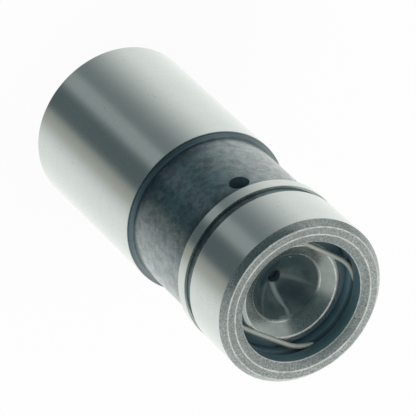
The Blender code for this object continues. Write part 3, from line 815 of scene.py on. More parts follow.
def mottle(metal, tone):
    """Clouds, blots and a fine grain of a tone, and the blots and the grain alone."""
    clouds = metal.noise(per_mm=0.4, detail=5.0, roughness=0.65)
    blots = metal.span(metal.noise(per_mm=1.1, detail=5.0, roughness=0.7), low=0.42, high=0.62)
    grain = metal.noise(per_mm=6.0, detail=2.0)
    base = metal.vary(clouds, tone, dark=0.6, light=1.15, low=0.4, high=0.6)
    base = metal.mix(metal.maths("MULTIPLY", blots, 0.7), base, shade(tone, 1.8))
    return metal.lay(grain, base, shade(tone, 0.4), most=0.4, low=0.35, high=0.65), blots, grain


def blackened_finish(name, tone, shaded, radius, ends=(), wall=None):
    """Blackened steel under a film of oil, with painted shade: darker on the shaded side and at its ends
    there, where the coat is less glossy too.

    Each end is a height, how far its darker tone reaches from there, and the tone. The wall is a height and
    a reach too, with its lighter tone away from the shaded side and its darker tone on it: painted light
    and shade.
    """
    metal = Metal(name)
    unshaded, blots, grain = mottle(metal, tone)
    # Painted shade: the tone darkens towards the shaded side
    shaded_side = metal.toward(SHADED_SIDE, radius)
    base = metal.mix(shaded_side, unshaded, mottle(metal, shaded)[0])
    thick = FILM_AT_LEAST
    # Painted shade in the waist's corners: a darker tone near each end, on the shaded side
    for height, reach, end_tone in ends:
        near = metal.maths("MULTIPLY", metal.near_height(height, reach), shaded_side)
        base = metal.mix(near, base, end_tone)
        thick = metal.maths("MAXIMUM", thick, near)
    # Painted light and shade on the lower wall: lighter away from the shaded side, darker on it
    if wall:
        height, reach, lit_wall, shaded_wall = wall
        wall_tone = metal.mix(metal.toward(SHADED_WALL_SIDE, radius), lit_wall, shaded_wall)
        base = metal.mix(metal.near_height(height, reach), base, wall_tone)
    gloss = metal.span(blots, 0.0, 1.0, FILM_GLOSS_LOW, FILM_GLOSS_HIGH)
    gloss = metal.maths("SUBTRACT", gloss, metal.maths("MULTIPLY", thick, THICK_FILM_LOSS))
    metal.feed(metal.shader.inputs["Coat Weight"], gloss)
    metal.feed(metal.shader.inputs["Coat Roughness"], FILM_ROUGHNESS)
    metal.feed(metal.shader.inputs["Coat IOR"], FILM_IOR)
    rough = metal.span(blots, 0.0, 1.0, to_low=0.45, to_high=0.55)
    return metal.finish(base, rough, grain, depth=0.002 * MM)


def blasted_finish(name, tone, roughness=0.44, side_shade=0.0):
    """Blasted steel: light and dark grains a fifth of a millimetre across, and a painted shade that darkens
    one side.
    """
    metal = Metal(name)
    grain = metal.noise(per_mm=4.5, detail=2.0, roughness=0.7)
    clouds = metal.noise(per_mm=0.5, detail=3.0)
    base = metal.vary(grain, tone, dark=0.58, light=1.45, low=0.32, high=0.68)
    base = metal.lay(clouds, base, shade(tone, 0.85), most=0.35)
    # Painted shade: the ring's tone darkens towards one side
    side_shade_share = metal.toward(RING_SHADE_SIDE, RING_SHADE_REACH)
    base = metal.mix(metal.maths("MULTIPLY", side_shade_share, side_shade), base, BLACK)
    return metal.finish(base, metal.uneven(grain, roughness, by=-0.15), grain, depth=0.009 * MM)


def satin_finish(name, tone, roughness=0.28, metallic=1.0, lit_side_radius=None):
    """Satin steel: fine turning lines and small scratches of tone, and painted light on one side where a
    radius is given.
    """
    metal = Metal(name, metallic)
    grain = metal.noise(per_mm=3.0, detail=3.0, roughness=0.6)
    clouds = metal.noise(per_mm=0.6, detail=4.0, roughness=0.6)
    base = metal.vary(clouds, tone, dark=0.85, light=1.15)
    base = metal.lay(grain, base, shade(tone, 1.3), most=0.4, low=0.4)
    # Painted light: one side is made lighter in its colour
    if lit_side_radius:
        base = metal.mix(metal.toward(DISH_LIT_SIDE, lit_side_radius), base, shade(tone, DISH_LIGHT_GAIN))
    return metal.finish(base, metal.uneven(grain, roughness), grain, depth=0.0008 * MM)


def oiled_finish(name, tone, roughness=0.3, ends=(), thin=None):
    """Blued steel under oil: faint streaks round the axis.

    Where thin is given, it is a radius and a lighter tone painted on the far side, a painted light. Each
    end is a height, how far its tones reach from there, and its tones on the rest and on that far side,
    painted light as well.
    """
    metal = Metal(name, metallic=0.0)
    streaks = metal.noise(per_mm=1.6, detail=3.0, stretch=LONG_STREAKS)
    base = metal.vary(streaks, tone, dark=0.8, light=1.25)
    # Painted light on the far side
    if thin:
        radius, side_tone = thin
        lit_side = metal.toward(FAR_LIT_SIDE, radius)
        base = metal.mix(lit_side, base, side_tone)
    # Painted light near the ends, round the seat and next to the mouth
    for height, reach, rest_tone, lit_side_tone in ends:
        end_tone = metal.mix(lit_side, rest_tone, lit_side_tone)
        base = metal.mix(metal.near_height(height, reach), base, end_tone)
    return metal.finish(base, metal.uneven(streaks, roughness), streaks, depth=0.001 * MM)


def filmed_finish(name, seat, mouth):
    """The socket's dark oil film, lighter near its mouth, with its marks: painted shadows and painted
    highlights.
    """
    metal = Metal(name, metallic=0.0)
    metal.feed(metal.shader.inputs["Specular IOR Level"], 0.35)
    clouds = metal.noise(per_mm=0.7, detail=3.0, roughness=0.55)
    base = metal.vary(clouds, seat.socket, dark=0.7, light=1.2)
    # Lighter towards the socket's mouth
    base = metal.mix(metal.near_height(mouth, seat.mouth_band_reach), base, seat.thin)
    # The painted shadows and painted highlights, laid over the film
    for mark in SOCKET_MARKS:
        strength = metal.maths("MULTIPLY", metal.stroke(mark), mark.strength)
        base = metal.mix(strength, base, getattr(seat, mark.tone))
    rough = metal.span(clouds, NOISE_LOW, NOISE_HIGH, to_low=0.18, to_high=0.26)
    return metal.finish(base, rough, clouds, depth=0.002 * MM)


def worn_finish(name, tone, metallic, edge_shade=None):
    """Bare metal on a worn edge: the less metallic, the more its fine scratches catch light from all sides.

    An edge within reach of the given height, and of its radius, has a darker tone on one side: a painted
    shade.
    """
    metal = Metal(name, metallic)
    wear = metal.noise(per_mm=1.1, detail=4.0, roughness=0.7)
    base = metal.vary(wear, tone, dark=0.65, light=1.0, low=0.35, high=0.6)
    # Painted shade on one side of the edge
    if edge_shade:
        height, reach, radius, edge_shade_tone = edge_shade
        film = metal.maths("MULTIPLY", metal.toward(EDGE_SHADE_SIDE, radius), metal.near_height(height, reach))
        base = metal.mix(film, base, edge_shade_tone)
    return metal.finish(base, roughness=0.28)


def drawn_finish(name, tone, roughness=0.38, metallic=1.0):
    """Drawn wire: fine mottle of tone and gloss."""
    metal = Metal(name, metallic)
    grain = metal.noise(per_mm=4.0, detail=3.0, roughness=0.6)
    base = metal.vary(grain, tone, dark=0.9, light=1.08)
    return metal.finish(base, metal.uneven(grain, roughness), grain, depth=0.0005 * MM)


# Pieces

# The order of the body's finishes and of the seat's
GROUND, BLACKENED, GROOVE, RING, CHAMFER, MOUTH, BORE, HOLE, CLIP_GROOVE, WORN = range(10)
SATIN, SOCKET, METERING_HOLE, SHOULDER, SEAT_WORN = range(5)


class LIFTER_OT_body(bpy.types.Operator):
    """Builds the turned body with its lands, waist, oil hole and bore"""

    bl_idname = "lifter.make_body"
    bl_label = "Lifter Body"

    def outline(self, body, clip, fit):
        """The body's section, from the foot's middle round the outside to the bore's floor."""
        waist = body.radius - body.waist_depth
        groove = body.radius - body.groove_depth
        fillet = body.waist_fillet
        clip_floor = fit.bore + clip.groove_depth
        clip_half = clip.wire + clip.side_play
        near_hole = HOLE_MARGIN * body.oil_hole
        return [
            (0.0, 0.0),
            (body.radius - body.foot_edge, 0.0),
            (body.radius, body.foot_edge),
            (body.radius, fit.waist_foot),
            *arc(waist + fillet, fit.waist_foot + fillet, fillet, 270, 180),
            (waist, fit.oil_hole_height - near_hole),
            (waist, fit.oil_hole_height + near_hole),
            *arc(waist + fillet, fit.waist_top - fillet, fillet, 180, 90),
            (body.radius, fit.waist_top),
            (body.radius, fit.groove_foot),
            (groove, fit.groove_foot),
            (groove, fit.groove_top),
            (body.radius, fit.groove_top),
            (body.radius, body.height - body.chamfer_height),
            (body.radius - body.chamfer_width, body.height),
            (fit.bore + body.mouth_width, body.height),
            (fit.bore, body.height - body.mouth_depth),
            (fit.bore, fit.clip_height + clip_half),
            (clip_floor, fit.clip_height + clip_half),
            (clip_floor, fit.clip_height - clip_half),
            (fit.bore, fit.clip_height - clip_half),
            *arc(fit.bore - body.floor_fillet, body.foot + body.floor_fillet, body.floor_fillet, 0, -90),
            (0.0, body.foot),
        ]

    def finishes(self, body, fit):
        radius = body.radius - body.waist_depth
        # Painted shade at the waist's ends, on the shaded side
        ends = (
            (fit.waist_foot, body.foot_shade, body.groove),
            (fit.waist_top, body.top_shade, body.groove),
        )
        # The lower wall's painted light and painted shade
        wall = (fit.waist_foot, body.wall_shade, body.lit_corner, body.corner)
        # Painted light in the bore: lighter next to the mouth and round the seat, and more so on the far
        # side
        bore_top = body.height - body.mouth_depth
        deep = fit.seat_top - body.seat_light_reach / 4.0
        bore_ends = (
            (deep, body.seat_light_reach, body.deep, body.lit_deep_bore),
            (bore_top, body.mouth_light_reach, body.bore_top, body.lit_bore),
        )
        # Painted light on the far side of the bore and of the clip groove
        in_bore, in_groove = (fit.bore, body.lit_bore), (fit.bore, body.lit_clip_groove)
        return [
            ground_finish("ground_steel", body.ground),
            blackened_finish("blackened_steel", body.blackened, body.shaded, radius, ends, wall),
            # The groove: darker than the waist, partly its own tone and partly painted shade, and darker
            # still on the shaded side
            blackened_finish("blackened_groove", body.shaded, body.groove, radius),
            blasted_finish("blasted_ring", body.face, side_shade=0.25),
            blasted_finish("blasted_chamfer", body.chamfer, roughness=0.3),
            blasted_finish("blasted_mouth", body.mouth),
            oiled_finish("oiled_bore", body.bore, roughness=0.45, ends=bore_ends, thin=in_bore),
            # Painted shade inside the oil hole
            oiled_finish("oil_hole_wall", body.hole, roughness=0.6),
            oiled_finish("clip_groove", body.clip_groove, roughness=0.6, thin=in_groove),
            worn_finish("worn_edge", body.worn_edge, metallic=0.6),
        ]

    def execute(self, context):
        scene = context.scene
        body, clip, fit = scene.lifter_body_settings, scene.lifter_clip_settings, fitted_sizes(scene)
        chamfer_foot = body.height - body.chamfer_height
        face_edges = body.height - body.chamfer_height / 2.0
        mesh = turned_mesh(
            "ground_body",
            self.outline(body, clip, fit),
            SPIN_STEPS,
            rounds=((-body.foot, body.edge_round), (face_edges, body.face_round)),
            round_finish=WORN,
        )
        piece = link("ground_body", mesh)
        add_finishes(piece, *self.finishes(body, fit))
        hole = cylinder_cutter(
            "oil_hole_cutter",
            body.oil_hole,
            (0.0, -fit.bore / 2.0, fit.oil_hole_height),
            (0.0, -body.radius * PAST_WALL, fit.oil_hole_height),
        )
        cut_away(piece, hole)
        in_wall = fit.bore + body.face_round
        clip_floor = fit.bore + clip.groove_depth
        worn_from = body.height - body.mouth_depth - 2.0 * body.face_round
        in_waist = body.radius - SUNK_SHARE * body.waist_depth
        in_groove = body.radius - SUNK_SHARE * body.groove_depth

        def finish_at(middle, normal, old):
            radius = math.hypot(middle.x, middle.y)
            if old == WORN and middle.z > worn_from and radius < body.radius - body.chamfer_width / 2.0:
                return WORN
            from_hole = math.hypot(middle.x, middle.z - fit.oil_hole_height)
            faces_hole = abs(normal.y) < ALONG_HOLE and from_hole < body.oil_hole * JUST_OVER
            if radius > in_wall and middle.y < 0.0 and faces_hole:
                return HOLE
            if middle.z > chamfer_foot and radius > in_wall:
                if radius > body.radius - body.chamfer_width:
                    return CHAMFER
                return RING if radius > fit.bore + body.mouth_width else MOUTH
            if middle.z > body.foot / 2.0 and radius < clip_floor * JUST_OVER:
                return CLIP_GROOVE if radius > fit.bore * JUST_OVER else BORE
            if fit.waist_foot <= middle.z <= fit.waist_top and radius < in_waist:
                return BLACKENED
            if fit.groove_foot <= middle.z <= fit.groove_top and radius < in_groove:
                return GROOVE
            return GROUND

        pick_finishes(piece, finish_at)
        even_shading(piece)
        stand_for(piece, "lifter_body", "lifter")
        return {"FINISHED"}


class LIFTER_OT_clip(bpy.types.Operator):
    """Bends the wire clip that holds the seat in the bore"""

    bl_idname = "lifter.make_clip"
    bl_label = "Retaining Clip"

    def flat_arc(self, centre, radius, start, end, step=math.radians(2.0)):
        count = max(1, math.ceil(abs(end - start) / step))
        turns = [start + (end - start) * index / count for index in range(count + 1)]
        across, up = centre
        return [(across + radius * math.cos(turn), up + radius * math.sin(turn)) for turn in turns]

    def half(self, clip, fit, tip_bend, leg_shift=0.0):
        """Half of the clip's centre line, at +Y, from its closed side's middle to its open tip at +X."""
        seat_radius = fit.bore + clip.groove_depth - clip.wire - clip.floor_play
        along = Vector((math.cos(clip.taper), -math.sin(clip.taper)))
        across = Vector((math.sin(clip.taper), math.cos(clip.taper)))
        bend = fit.rim + leg_shift - clip.bend_off_middle
        reach = math.sqrt((seat_radius - bend) ** 2 - clip.bend_off_middle**2)
        back_bend = across * clip.bend_off_middle - along * reach
        front_bend = across * clip.bend_off_middle + along * reach
        leg_side = math.atan2(across.y, across.x)
        back_angle = math.atan2(back_bend.y, back_bend.x)
        points = self.flat_arc((0.0, 0.0), seat_radius, math.pi, back_angle)
        points += self.flat_arc(back_bend, bend, back_angle, leg_side)[1:]
        points += self.flat_arc(front_bend, bend, leg_side, leg_side - tip_bend)
        return points

    def execute(self, context):
        scene = context.scene
        clip, fit = scene.lifter_clip_settings, fitted_sizes(scene)
        half = self.half(clip, fit, clip.tip_bend, clip.leg_shift)
        other_half = [(x, -y) for x, y in reversed(self.half(clip, fit, clip.other_tip_bend))]
        turn = Matrix.Rotation(clip.open_side, 3, "Z")
        points = [turn @ Vector((x, y, fit.clip_height)) for x, y in other_half[:-1] + half]
        piece = link("wire_clip", wire_mesh("wire_clip", points, clip.wire, clip.dressed_tip))
        add_finishes(piece, drawn_finish("clip_wire", clip.wire_colour, roughness=0.5, metallic=0.5))
        stand_for(piece, "retaining_clip", "lifter")
        return {"FINISHED"}


class LIFTER_OT_seat(bpy.types.Operator):
    """Builds the pushrod seat with its dished top and its round socket"""

    bl_idname = "lifter.make_seat"
    bl_label = "Pushrod Seat"

    def execute(self, context):
        scene = context.scene
        body, seat, fit = scene.lifter_body_settings, scene.lifter_seat_settings, fitted_sizes(scene)
        mouth = fit.seat_top - seat.dish_depth
        rise = fit.socket - seat.socket_depth
        start = math.degrees(math.atan2(-rise, fit.socket_mouth))
        end = -math.degrees(math.acos(seat.metering_hole / fit.socket))
        recess_top = fit.seat_foot + seat.recess_depth
        outline = [
            (seat.recess, fit.seat_foot),
            (fit.plunger - seat.foot_break, fit.seat_foot),
            (fit.plunger, fit.seat_foot + seat.foot_break),
            (fit.plunger, fit.seat_top - seat.shoulder_drop),
            (fit.land, fit.seat_top),
            (fit.rim, fit.seat_top),
            *arc(0.0, mouth + rise, fit.socket, start, end, SOCKET_STEPS),
            (seat.metering_hole, recess_top + seat.recess_cone),
            (seat.recess, recess_top),
        ]
        mesh = turned_mesh(
            "seat_cup",
            outline,
            INNER_SPIN_STEPS,
            closed_outline=True,
            rounds=(
                (0.0, body.edge_round),
                (mouth - body.edge_round, seat.mouth_round),
                (mouth + body.edge_round, seat.rim_round),
            ),
            round_finish=SEAT_WORN,
        )
        piece = link("seat_cup", mesh)

        def finish_at(middle, normal, old):
            radius = math.hypot(middle.x, middle.y)
            if radius > fit.land:
                return SHOULDER
            if old == SEAT_WORN and seat.recess < radius < fit.rim + seat.land / 2.0:
                return SEAT_WORN
            if fit.seat_foot + seat.recess_depth < middle.z < mouth and radius < fit.socket_mouth:
                return SOCKET if radius > seat.metering_hole * JUST_OVER else METERING_HOLE
            return SATIN

        # Painted light on the far side of the seat's shoulder
        lit_side = (fit.plunger, seat.lit_shoulder)
        # Painted shade on one side of the socket mouth's edge
        edge_shade = (mouth, seat.dish_depth, fit.socket_mouth, seat.shaded_edge_tone)
        add_finishes(
            piece,
            # The dish gets painted light on one side
            satin_finish("satin_seat", seat.steel, metallic=0.96, lit_side_radius=fit.rim),
            filmed_finish("dark_socket", seat, mouth),
            oiled_finish("metering_hole_wall", seat.hole, roughness=0.6),
            oiled_finish("oiled_shoulder", body.deep, roughness=0.4, thin=lit_side),
            worn_finish("worn_seat_edge", body.worn_edge, metallic=0.8, edge_shade=edge_shade),
        )
        pick_finishes(piece, finish_at)
        even_shading(piece)
        stand_for(piece, "pushrod_seat", "plunger_unit")
        return {"FINISHED"}


class LIFTER_OT_plunger(bpy.types.Operator):
    """Builds the hollow plunger and the metering disc in its top"""

    bl_idname = "lifter.make_plunger"
    bl_label = "Plunger and Disc"

    def plunger(self, plunger, fit):
        waist_top = fit.plunger_top - plunger.top_land
        waist_foot = waist_top - plunger.waist_length
        waist = fit.plunger - plunger.waist_depth
        floor = fit.pocket_roof + plunger.floor
        ledge = fit.plunger_top - plunger.disc_thickness - 2.0 * REST_GAP
        disc_recess = fit.plunger - plunger.disc_rim
        reservoir = fit.plunger - plunger.wall
        fillet = plunger.floor_fillet
        return [
            (fit.pocket, fit.plunger_foot),
            (fit.plunger - plunger.edge_break, fit.plunger_foot),
            (fit.plunger, fit.plunger_foot + plunger.edge_break),
            (fit.plunger, waist_foot),
            (waist, waist_foot + plunger.waist_slope),
            (waist, waist_top - plunger.waist_slope),
            (fit.plunger, waist_top),
            (fit.plunger, fit.plunger_top - plunger.edge_break),
            (fit.plunger - plunger.edge_break, fit.plunger_top),
            (disc_recess, fit.plunger_top),
            (disc_recess, ledge),
            (reservoir, ledge),
            *arc(reservoir - fillet, floor + fillet, fillet, 0, -90),
            (plunger.port, floor - plunger.port_cone_drop),
            (plunger.port, fit.valve_edge),
            (plunger.port + plunger.valve_cone, fit.pocket_roof),
            (fit.pocket, fit.pocket_roof),
        ]

    def disc(self, plunger, fit):
        foot = fit.plunger_top - plunger.disc_thickness - REST_GAP
        radius = fit.plunger - plunger.disc_rim - plunger.disc_clearance
        edge = plunger.disc_edge
        return [
            (0.0, foot),
            (radius - edge, foot),
            (radius, foot + edge),
            (radius, foot + plunger.disc_thickness - edge),
            (radius - edge, foot + plunger.disc_thickness),
            (0.0, foot + plunger.disc_thickness),
        ]

    def execute(self, context):
        scene = context.scene
        plunger, fit = scene.lifter_plunger_settings, fitted_sizes(scene)
        mesh = turned_mesh(
            "hollow_plunger",
            self.plunger(plunger, fit),
            INNER_SPIN_STEPS,
            closed_outline=True,
            rounds=((0.0, scene.lifter_body_settings.edge_round / 2.0),),
        )
        piece = link("hollow_plunger", mesh)
        feed_height = fit.plunger_top - plunger.top_land - plunger.waist_length / 2.0
        hole = cylinder_cutter(
            "feed_hole_cutter",
            plunger.feed_hole,
            (0.0, (fit.plunger - plunger.wall) / 2.0, feed_height),
            (0.0, fit.bore * PAST_WALL, feed_height),
        )
        cut_away(piece, hole)
        add_finishes(piece, ground_finish("plunger_steel", plunger.ground, roughness=0.22))
        even_shading(piece)
        stand_for(piece, "plunger", "plunger_unit")

        mesh = turned_mesh("metering_plate", self.disc(plunger, fit), INNER_SPIN_STEPS)
        piece = link("metering_plate", mesh)
        add_finishes(piece, satin_finish("lapped_disc", plunger.lapped, roughness=0.5, metallic=0.2))
        even_shading(piece)
        stand_for(piece, "metering_disc", "plunger_unit")
        return {"FINISHED"}


class LIFTER_OT_check_valve(bpy.types.Operator):
    """Builds the check ball, its cage and its tapered spring"""

    bl_idname = "lifter.make_check_valve"
    bl_label = "Check Valve"

    def ball(self, check, fit):
        shape = bmesh.new()
        bmesh.ops.create_icosphere(shape, subdivisions=BALL_SUBDIVISIONS, radius=check.ball / MM)
        bmesh.ops.translate(shape, vec=(0.0, 0.0, fit.ball_height / MM), verts=shape.verts)
        piece = link("valve_ball", to_mesh("valve_ball", shape))
        add_finishes(piece, satin_finish("polished_ball", check.polished, roughness=0.1))
        stand_for(piece, "check_ball", "ball")

    def cage(self, check, fit, edge_round):
        floor_top = fit.cup_floor + check.cage_wall
        fillet = check.corner_fillet
        outline = [
            (check.floor_hole, fit.cup_floor),
            *arc(fit.cup_outer - fillet, fit.cup_floor + fillet, fillet, -90, 0),
            (fit.cup_outer, fit.flange_foot),
            (fit.flange, fit.flange_foot),
            (fit.flange, fit.flange_top),
            (fit.cup_inner, fit.flange_top),
            (fit.cup_inner, floor_top),
            (check.floor_hole, floor_top),
        ]
        rounds = ((0.0, edge_round),)
        mesh = turned_mesh("valve_cage", outline, INNER_SPIN_STEPS, closed_outline=True, rounds=rounds)
        piece = link("valve_cage", mesh)
        middle = floor_top + check.window_sill + check.window_height / 2.0
        size = (2.0 * PAST_WALL * fit.cup_outer, check.window_width, check.window_height)
        windows = [
            box_cutter(f"window_cutter_{azimuth}", size, (0.0, 0.0, middle), math.radians(azimuth))
            for azimuth in (45, 135)
        ]
        cut_away(piece, *windows)
        add_finishes(piece, satin_finish("pressed_cage", check.pressed, roughness=0.35))
        even_shading(piece)
        stand_for(piece, "check_retainer", "plunger_unit")

    def spring(self, check, fit):
        reach = check.ball + check.spring_wire + REST_GAP
        top = fit.ball_height - math.sqrt(reach**2 - check.spring_top**2)
        foot = fit.cup_floor + check.cage_wall + REST_GAP + check.spring_wire

        def radius_at(turn):
            return check.spring_foot + (check.spring_top - check.spring_foot) * turn / CHECK_SPRING_TURNS

        def height_at(turn):
            return foot + (top - foot) * turn / CHECK_SPRING_TURNS

        points = coil_points(CHECK_SPRING_TURNS, CHECK_COIL_STEPS, radius_at, height_at)
        piece = link("ball_spring", wire_mesh("ball_spring", points, check.spring_wire))
        add_finishes(piece, drawn_finish("ball_spring_wire", check.spring, roughness=0.25))
        stand_for(piece, "check_spring", "plunger_unit")
        squash_to(piece, "check_ball_lift")

    def execute(self, context):
        scene = context.scene
        check, fit = scene.lifter_check_settings, fitted_sizes(scene)
        self.ball(check, fit)
        self.cage(check, fit, scene.lifter_body_settings.edge_round / 2.0)
        self.spring(check, fit)
        return {"FINISHED"}


def squash_to(piece, joint_name):
    """Looks up the joint's travel in the packed record, and gives the spring a mesh of its own."""
    limits = [joint["range_m"][1] for joint in frame["joints"] if joint["name"] == joint_name]
    if not limits:
        raise RuntimeError(f"the packed record has no joint named {joint_name}")
    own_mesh(piece)


class LIFTER_OT_main_spring(bpy.types.Operator):
    """Coils the main spring between the body's floor and the cage"""

    bl_idname = "lifter.make_main_spring"
    bl_label = "Plunger Spring"

    def execute(self, context):
        scene = context.scene
        body, spring = scene.lifter_body_settings, scene.lifter_spring_settings
        fit = fitted_sizes(scene)
        foot = body.foot + REST_GAP + spring.wire
        top = fit.flange_foot - REST_GAP - spring.wire
        open_turns = MAIN_SPRING_TURNS - 2.0 * CLOSED_TURNS
        open_pitch = (top - foot - 2.0 * CLOSED_TURNS * spring.closed_pitch) / open_turns

        def height_at(turn):
            lower = min(turn, CLOSED_TURNS)
            upper = max(turn - CLOSED_TURNS - open_turns, 0.0)
            middle = turn - lower - upper
            return foot + (lower + upper) * spring.closed_pitch + middle * open_pitch

        points = coil_points(MAIN_SPRING_TURNS, MAIN_COIL_STEPS, lambda turn: fit.main_spring, height_at)
        piece = link("main_spring", wire_mesh("main_spring", points, spring.wire))
        add_finishes(piece, drawn_finish("main_spring_wire", spring.wire_colour, roughness=0.3))
        stand_for(piece, "plunger_spring", "lifter")
        squash_to(piece, "plunger_travel")
        return {"FINISHED"}


# Studio

# Elevations in degrees: where the table meets the tent, how soft that is, and a card with no lower end
TENT_EDGE = -18.0
TENT_SOFT = 56.0
NO_LOWER_END = -120.0
FLOOR_SIDES = 96

# The camera's sensor in millimetres
SENSOR_WIDTH = 36.0


class LightTent(Pattern):
    """The world that the steel reflects: a white table, a greyer tent above it, and cards hung in the tent.

    Directions are azimuths and elevations in degrees, as seen from the lifter.
    """

    def __init__(self, world, table, top):
        world.use_nodes = True
        super().__init__(world.node_tree)
        self.tree.nodes.clear()
        self.direction = self.node("ShaderNodeTexCoord").outputs["Generated"]
        parts = self.node("ShaderNodeSeparateXYZ", Vector=self.direction)
        self.azimuth = self.maths("ARCTAN2", parts.outputs["Y"], parts.outputs["X"])
        self.elevation = self.maths("ARCSINE", parts.outputs["Z"])
        self.tone = self.mix(self.fade(self.elevation, TENT_EDGE, TENT_SOFT), top, table)

    def fade(self, angle_from, edge, soft):
        """1 below the edge and 0 above it, with a smooth step so many degrees wide between."""
        low, high = math.radians(edge - soft / 2.0), math.radians(edge + soft / 2.0)
        return self.span(angle_from, low, high, 1.0, 0.0, "SMOOTHSTEP")

    def hang_card(
        self, azimuth, tone, left, right, softs, low=NO_LOWER_END, high=40.0, end_soft=30.0, strength=1.0
    ):
        """A card with its own reach from its azimuth and its own softness on the left and on the right."""
        off = self.maths("SUBTRACT", self.azimuth, math.radians(azimuth))
        off = self.maths("WRAP", off, math.pi, -math.pi)
        factor = self.maths("MULTIPLY", self.fade(off, right, softs[1]), strength)
        inside = self.maths("SUBTRACT", 1.0, self.fade(off, -left, softs[0]))
        factor = self.maths("MULTIPLY", factor, inside)
        factor = self.maths("MULTIPLY", factor, self.fade(self.elevation, high, end_soft))
        above = self.maths("SUBTRACT", 1.0, self.fade(self.elevation, low, end_soft))
        self.tone = self.mix(self.maths("MULTIPLY", factor, above), self.tone, tone)

    def hang_disc(self, azimuth, tone, elevation, radius, soft):
        """A round card, given by the direction of its middle and its radius in degrees."""
        turn = Matrix.Rotation(math.radians(azimuth), 3, "Z")
        middle = turn @ Matrix.Rotation(-math.radians(elevation), 3, "Y") @ Vector((1.0, 0.0, 0.0))
        off = self.maths("ARCCOSINE", self.dot(self.direction, middle))
        self.tone = self.mix(self.fade(off, radius, soft), self.tone, tone)

    def finish(self, backdrop, fill):
        """The camera sees the backdrop, glossy rays see the tent, and the rest is an even fill light."""
        path = self.node("ShaderNodeLightPath")
        lit = self.mix(path.outputs["Is Glossy Ray"], fill, self.tone)
        plain = self.maths("MAXIMUM", path.outputs["Is Camera Ray"], path.outputs["Is Transmission Ray"])
        background = self.node("ShaderNodeBackground", Color=self.mix(plain, lit, backdrop))
        self.node("ShaderNodeOutputWorld", Surface=background.outputs["Background"])


def floor_finish(studio):
    """A white floor that keeps a faint shadow."""
    material = bpy.data.materials.new("white_floor")
    material.use_nodes = True
    floor = Pattern(material.node_tree)
    floor.tree.nodes.clear()
    matt = floor.node("ShaderNodeBsdfDiffuse", Color=as_colour(studio.floor_tone))
    glow = floor.node("ShaderNodeEmission", Color=as_colour(studio.backdrop), Strength=1.0)
    mix = floor.node("ShaderNodeMixShader", Fac=studio.floor_glow)
    floor.feed(mix.inputs[1], matt.outputs["BSDF"])
    floor.feed(mix.inputs[2], glow.outputs["Emission"])
    floor.node("ShaderNodeOutputMaterial", Surface=mix.outputs["Shader"])
    return material


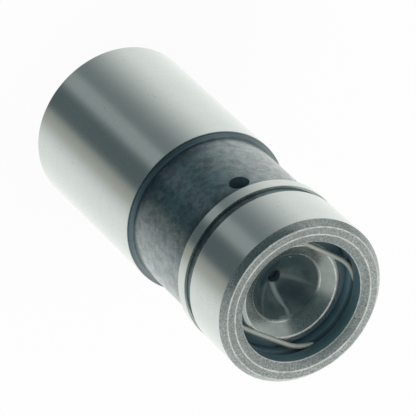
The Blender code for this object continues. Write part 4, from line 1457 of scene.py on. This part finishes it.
class LIFTER_OT_studio(bpy.types.Operator):
    """Sets up the floor, the light tent, the lamp and the camera"""

    bl_idname = "lifter.make_studio"
    bl_label = "Studio"

    def floor(self, studio):
        shape = bmesh.new()
        bmesh.ops.create_circle(shape, cap_ends=True, segments=FLOOR_SIDES, radius=studio.floor_radius / MM)
        floor = link("studio_floor", to_mesh("studio_floor", shape))
        floor.data.materials.append(floor_finish(studio))
        floor.visible_glossy = False

    def camera(self, studio):
        data = bpy.data.cameras.new("studio_camera")
        data.lens = studio.lens
        data.sensor_width = SENSOR_WIDTH
        camera = link("studio_camera", data)
        turn = (
            Matrix.Rotation(studio.azimuth + math.pi / 2.0, 4, "Z")
            @ Matrix.Rotation(math.pi / 2.0 - studio.elevation, 4, "X")
            @ Matrix.Rotation(studio.roll, 4, "Z")
        )
        back = turn.to_3x3() @ Vector((0.0, 0.0, studio.distance))
        camera.matrix_world = Matrix.Translation(Vector(studio.look_at) + back) @ turn
        bpy.context.scene.camera = camera

    def lamp(self, studio):
        data = bpy.data.lights.new("soft_lamp", "AREA")
        data.shape = "DISK"
        data.size = studio.lamp_size
        data.energy = studio.lamp_power
        lamp = link("soft_lamp", data)
        lamp.visible_glossy = False
        place = Vector(studio.lamp_place)
        lamp.matrix_world = Matrix.Translation(place) @ place.to_track_quat("Z", "Y").to_matrix().to_4x4()

    def hang_cards(self, tent):
        """The cards that draw the dark and the light bands along the ground lands."""
        hang = tent.hang_card
        back_light = (1.11, 1.12, 1.1)
        hang(121.0, back_light, left=60.0, right=60.0, softs=(60.0, 60.0), high=-25.0)
        dark_room = (0.215, 0.25, 0.262)
        hang(-59.0, dark_room, left=62.0, right=65.0, softs=(76.0, 66.0))
        door = (0.118, 0.145, 0.16)
        hang(-33.0, door, left=15.0, right=17.5, softs=(12.0, 13.0), high=10.0)
        cool_strip = (0.363, 0.402, 0.416)
        hang(-63.0, cool_strip, left=11.0, right=10.0, softs=(8.0, 8.0), high=-20.0)
        warm_edge = (0.47, 0.44, 0.36)
        hang(-3.0, warm_edge, left=8.0, right=10.0, softs=(16.0, 16.0), high=0.0, strength=0.5)
        left_curtain = (0.38, 0.41, 0.405)
        hang(-171.0, left_curtain, left=22.0, right=22.0, softs=(30.0, 30.0), low=-20.0, high=20.0)
        back_curtain = (0.72, 0.73, 0.7)
        hang(153.0, back_curtain, left=16.0, right=24.0, softs=(20.0, 20.0), low=-38.0, high=-8.0)
        lens_shade = (0.055, 0.09, 0.1)
        tent.hang_disc(-67.0, lens_shade, elevation=50.0, radius=43.0, soft=9.0)

    def execute(self, context):
        scene = context.scene
        studio = scene.lifter_studio_settings
        world = bpy.data.worlds.new("light_tent")
        scene.world = world
        tent = LightTent(world, studio.table, studio.tent_top)
        self.hang_cards(tent)
        tent.finish(studio.backdrop, studio.fill)
        self.floor(studio)
        self.lamp(studio)
        self.camera(studio)
        scene.view_settings.view_transform = "Standard"
        return {"FINISHED"}


OPERATORS = (
    LIFTER_OT_body,
    LIFTER_OT_clip,
    LIFTER_OT_seat,
    LIFTER_OT_plunger,
    LIFTER_OT_check_valve,
    LIFTER_OT_main_spring,
    LIFTER_OT_studio,
)


class LIFTER_PT_panel(bpy.types.Panel):
    """Lists the lifter's pieces and their settings"""

    bl_label = "Hydraulic Valve Lifter"
    bl_idname = "LIFTER_PT_panel"
    bl_space_type = "VIEW_3D"
    bl_region_type = "UI"
    bl_category = "Lifter"

    def draw(self, context):
        layout = self.layout
        for operator in OPERATORS:
            layout.operator(operator.bl_idname)
        for name, group in SETTINGS.items():
            box = layout.box()
            box.label(text=group.__doc__)
            for setting in group.__annotations__:
                box.prop(getattr(context.scene, name), setting)


CLASSES = (*SETTINGS.values(), *OPERATORS, LIFTER_PT_panel)


def register():
    for cls in CLASSES:
        bpy.utils.register_class(cls)
    for name, group in SETTINGS.items():
        setattr(bpy.types.Scene, name, PointerProperty(type=group))


def unregister():
    for name in SETTINGS:
        delattr(bpy.types.Scene, name)
    for cls in reversed(CLASSES):
        bpy.utils.unregister_class(cls)


def main():
    register()
    bpy.ops.lifter.make_body()
    bpy.ops.lifter.make_clip()
    bpy.ops.lifter.make_seat()
    bpy.ops.lifter.make_plunger()
    bpy.ops.lifter.make_check_valve()
    bpy.ops.lifter.make_main_spring()
    bpy.ops.lifter.make_studio()


if __name__ == "__main__":
    main()
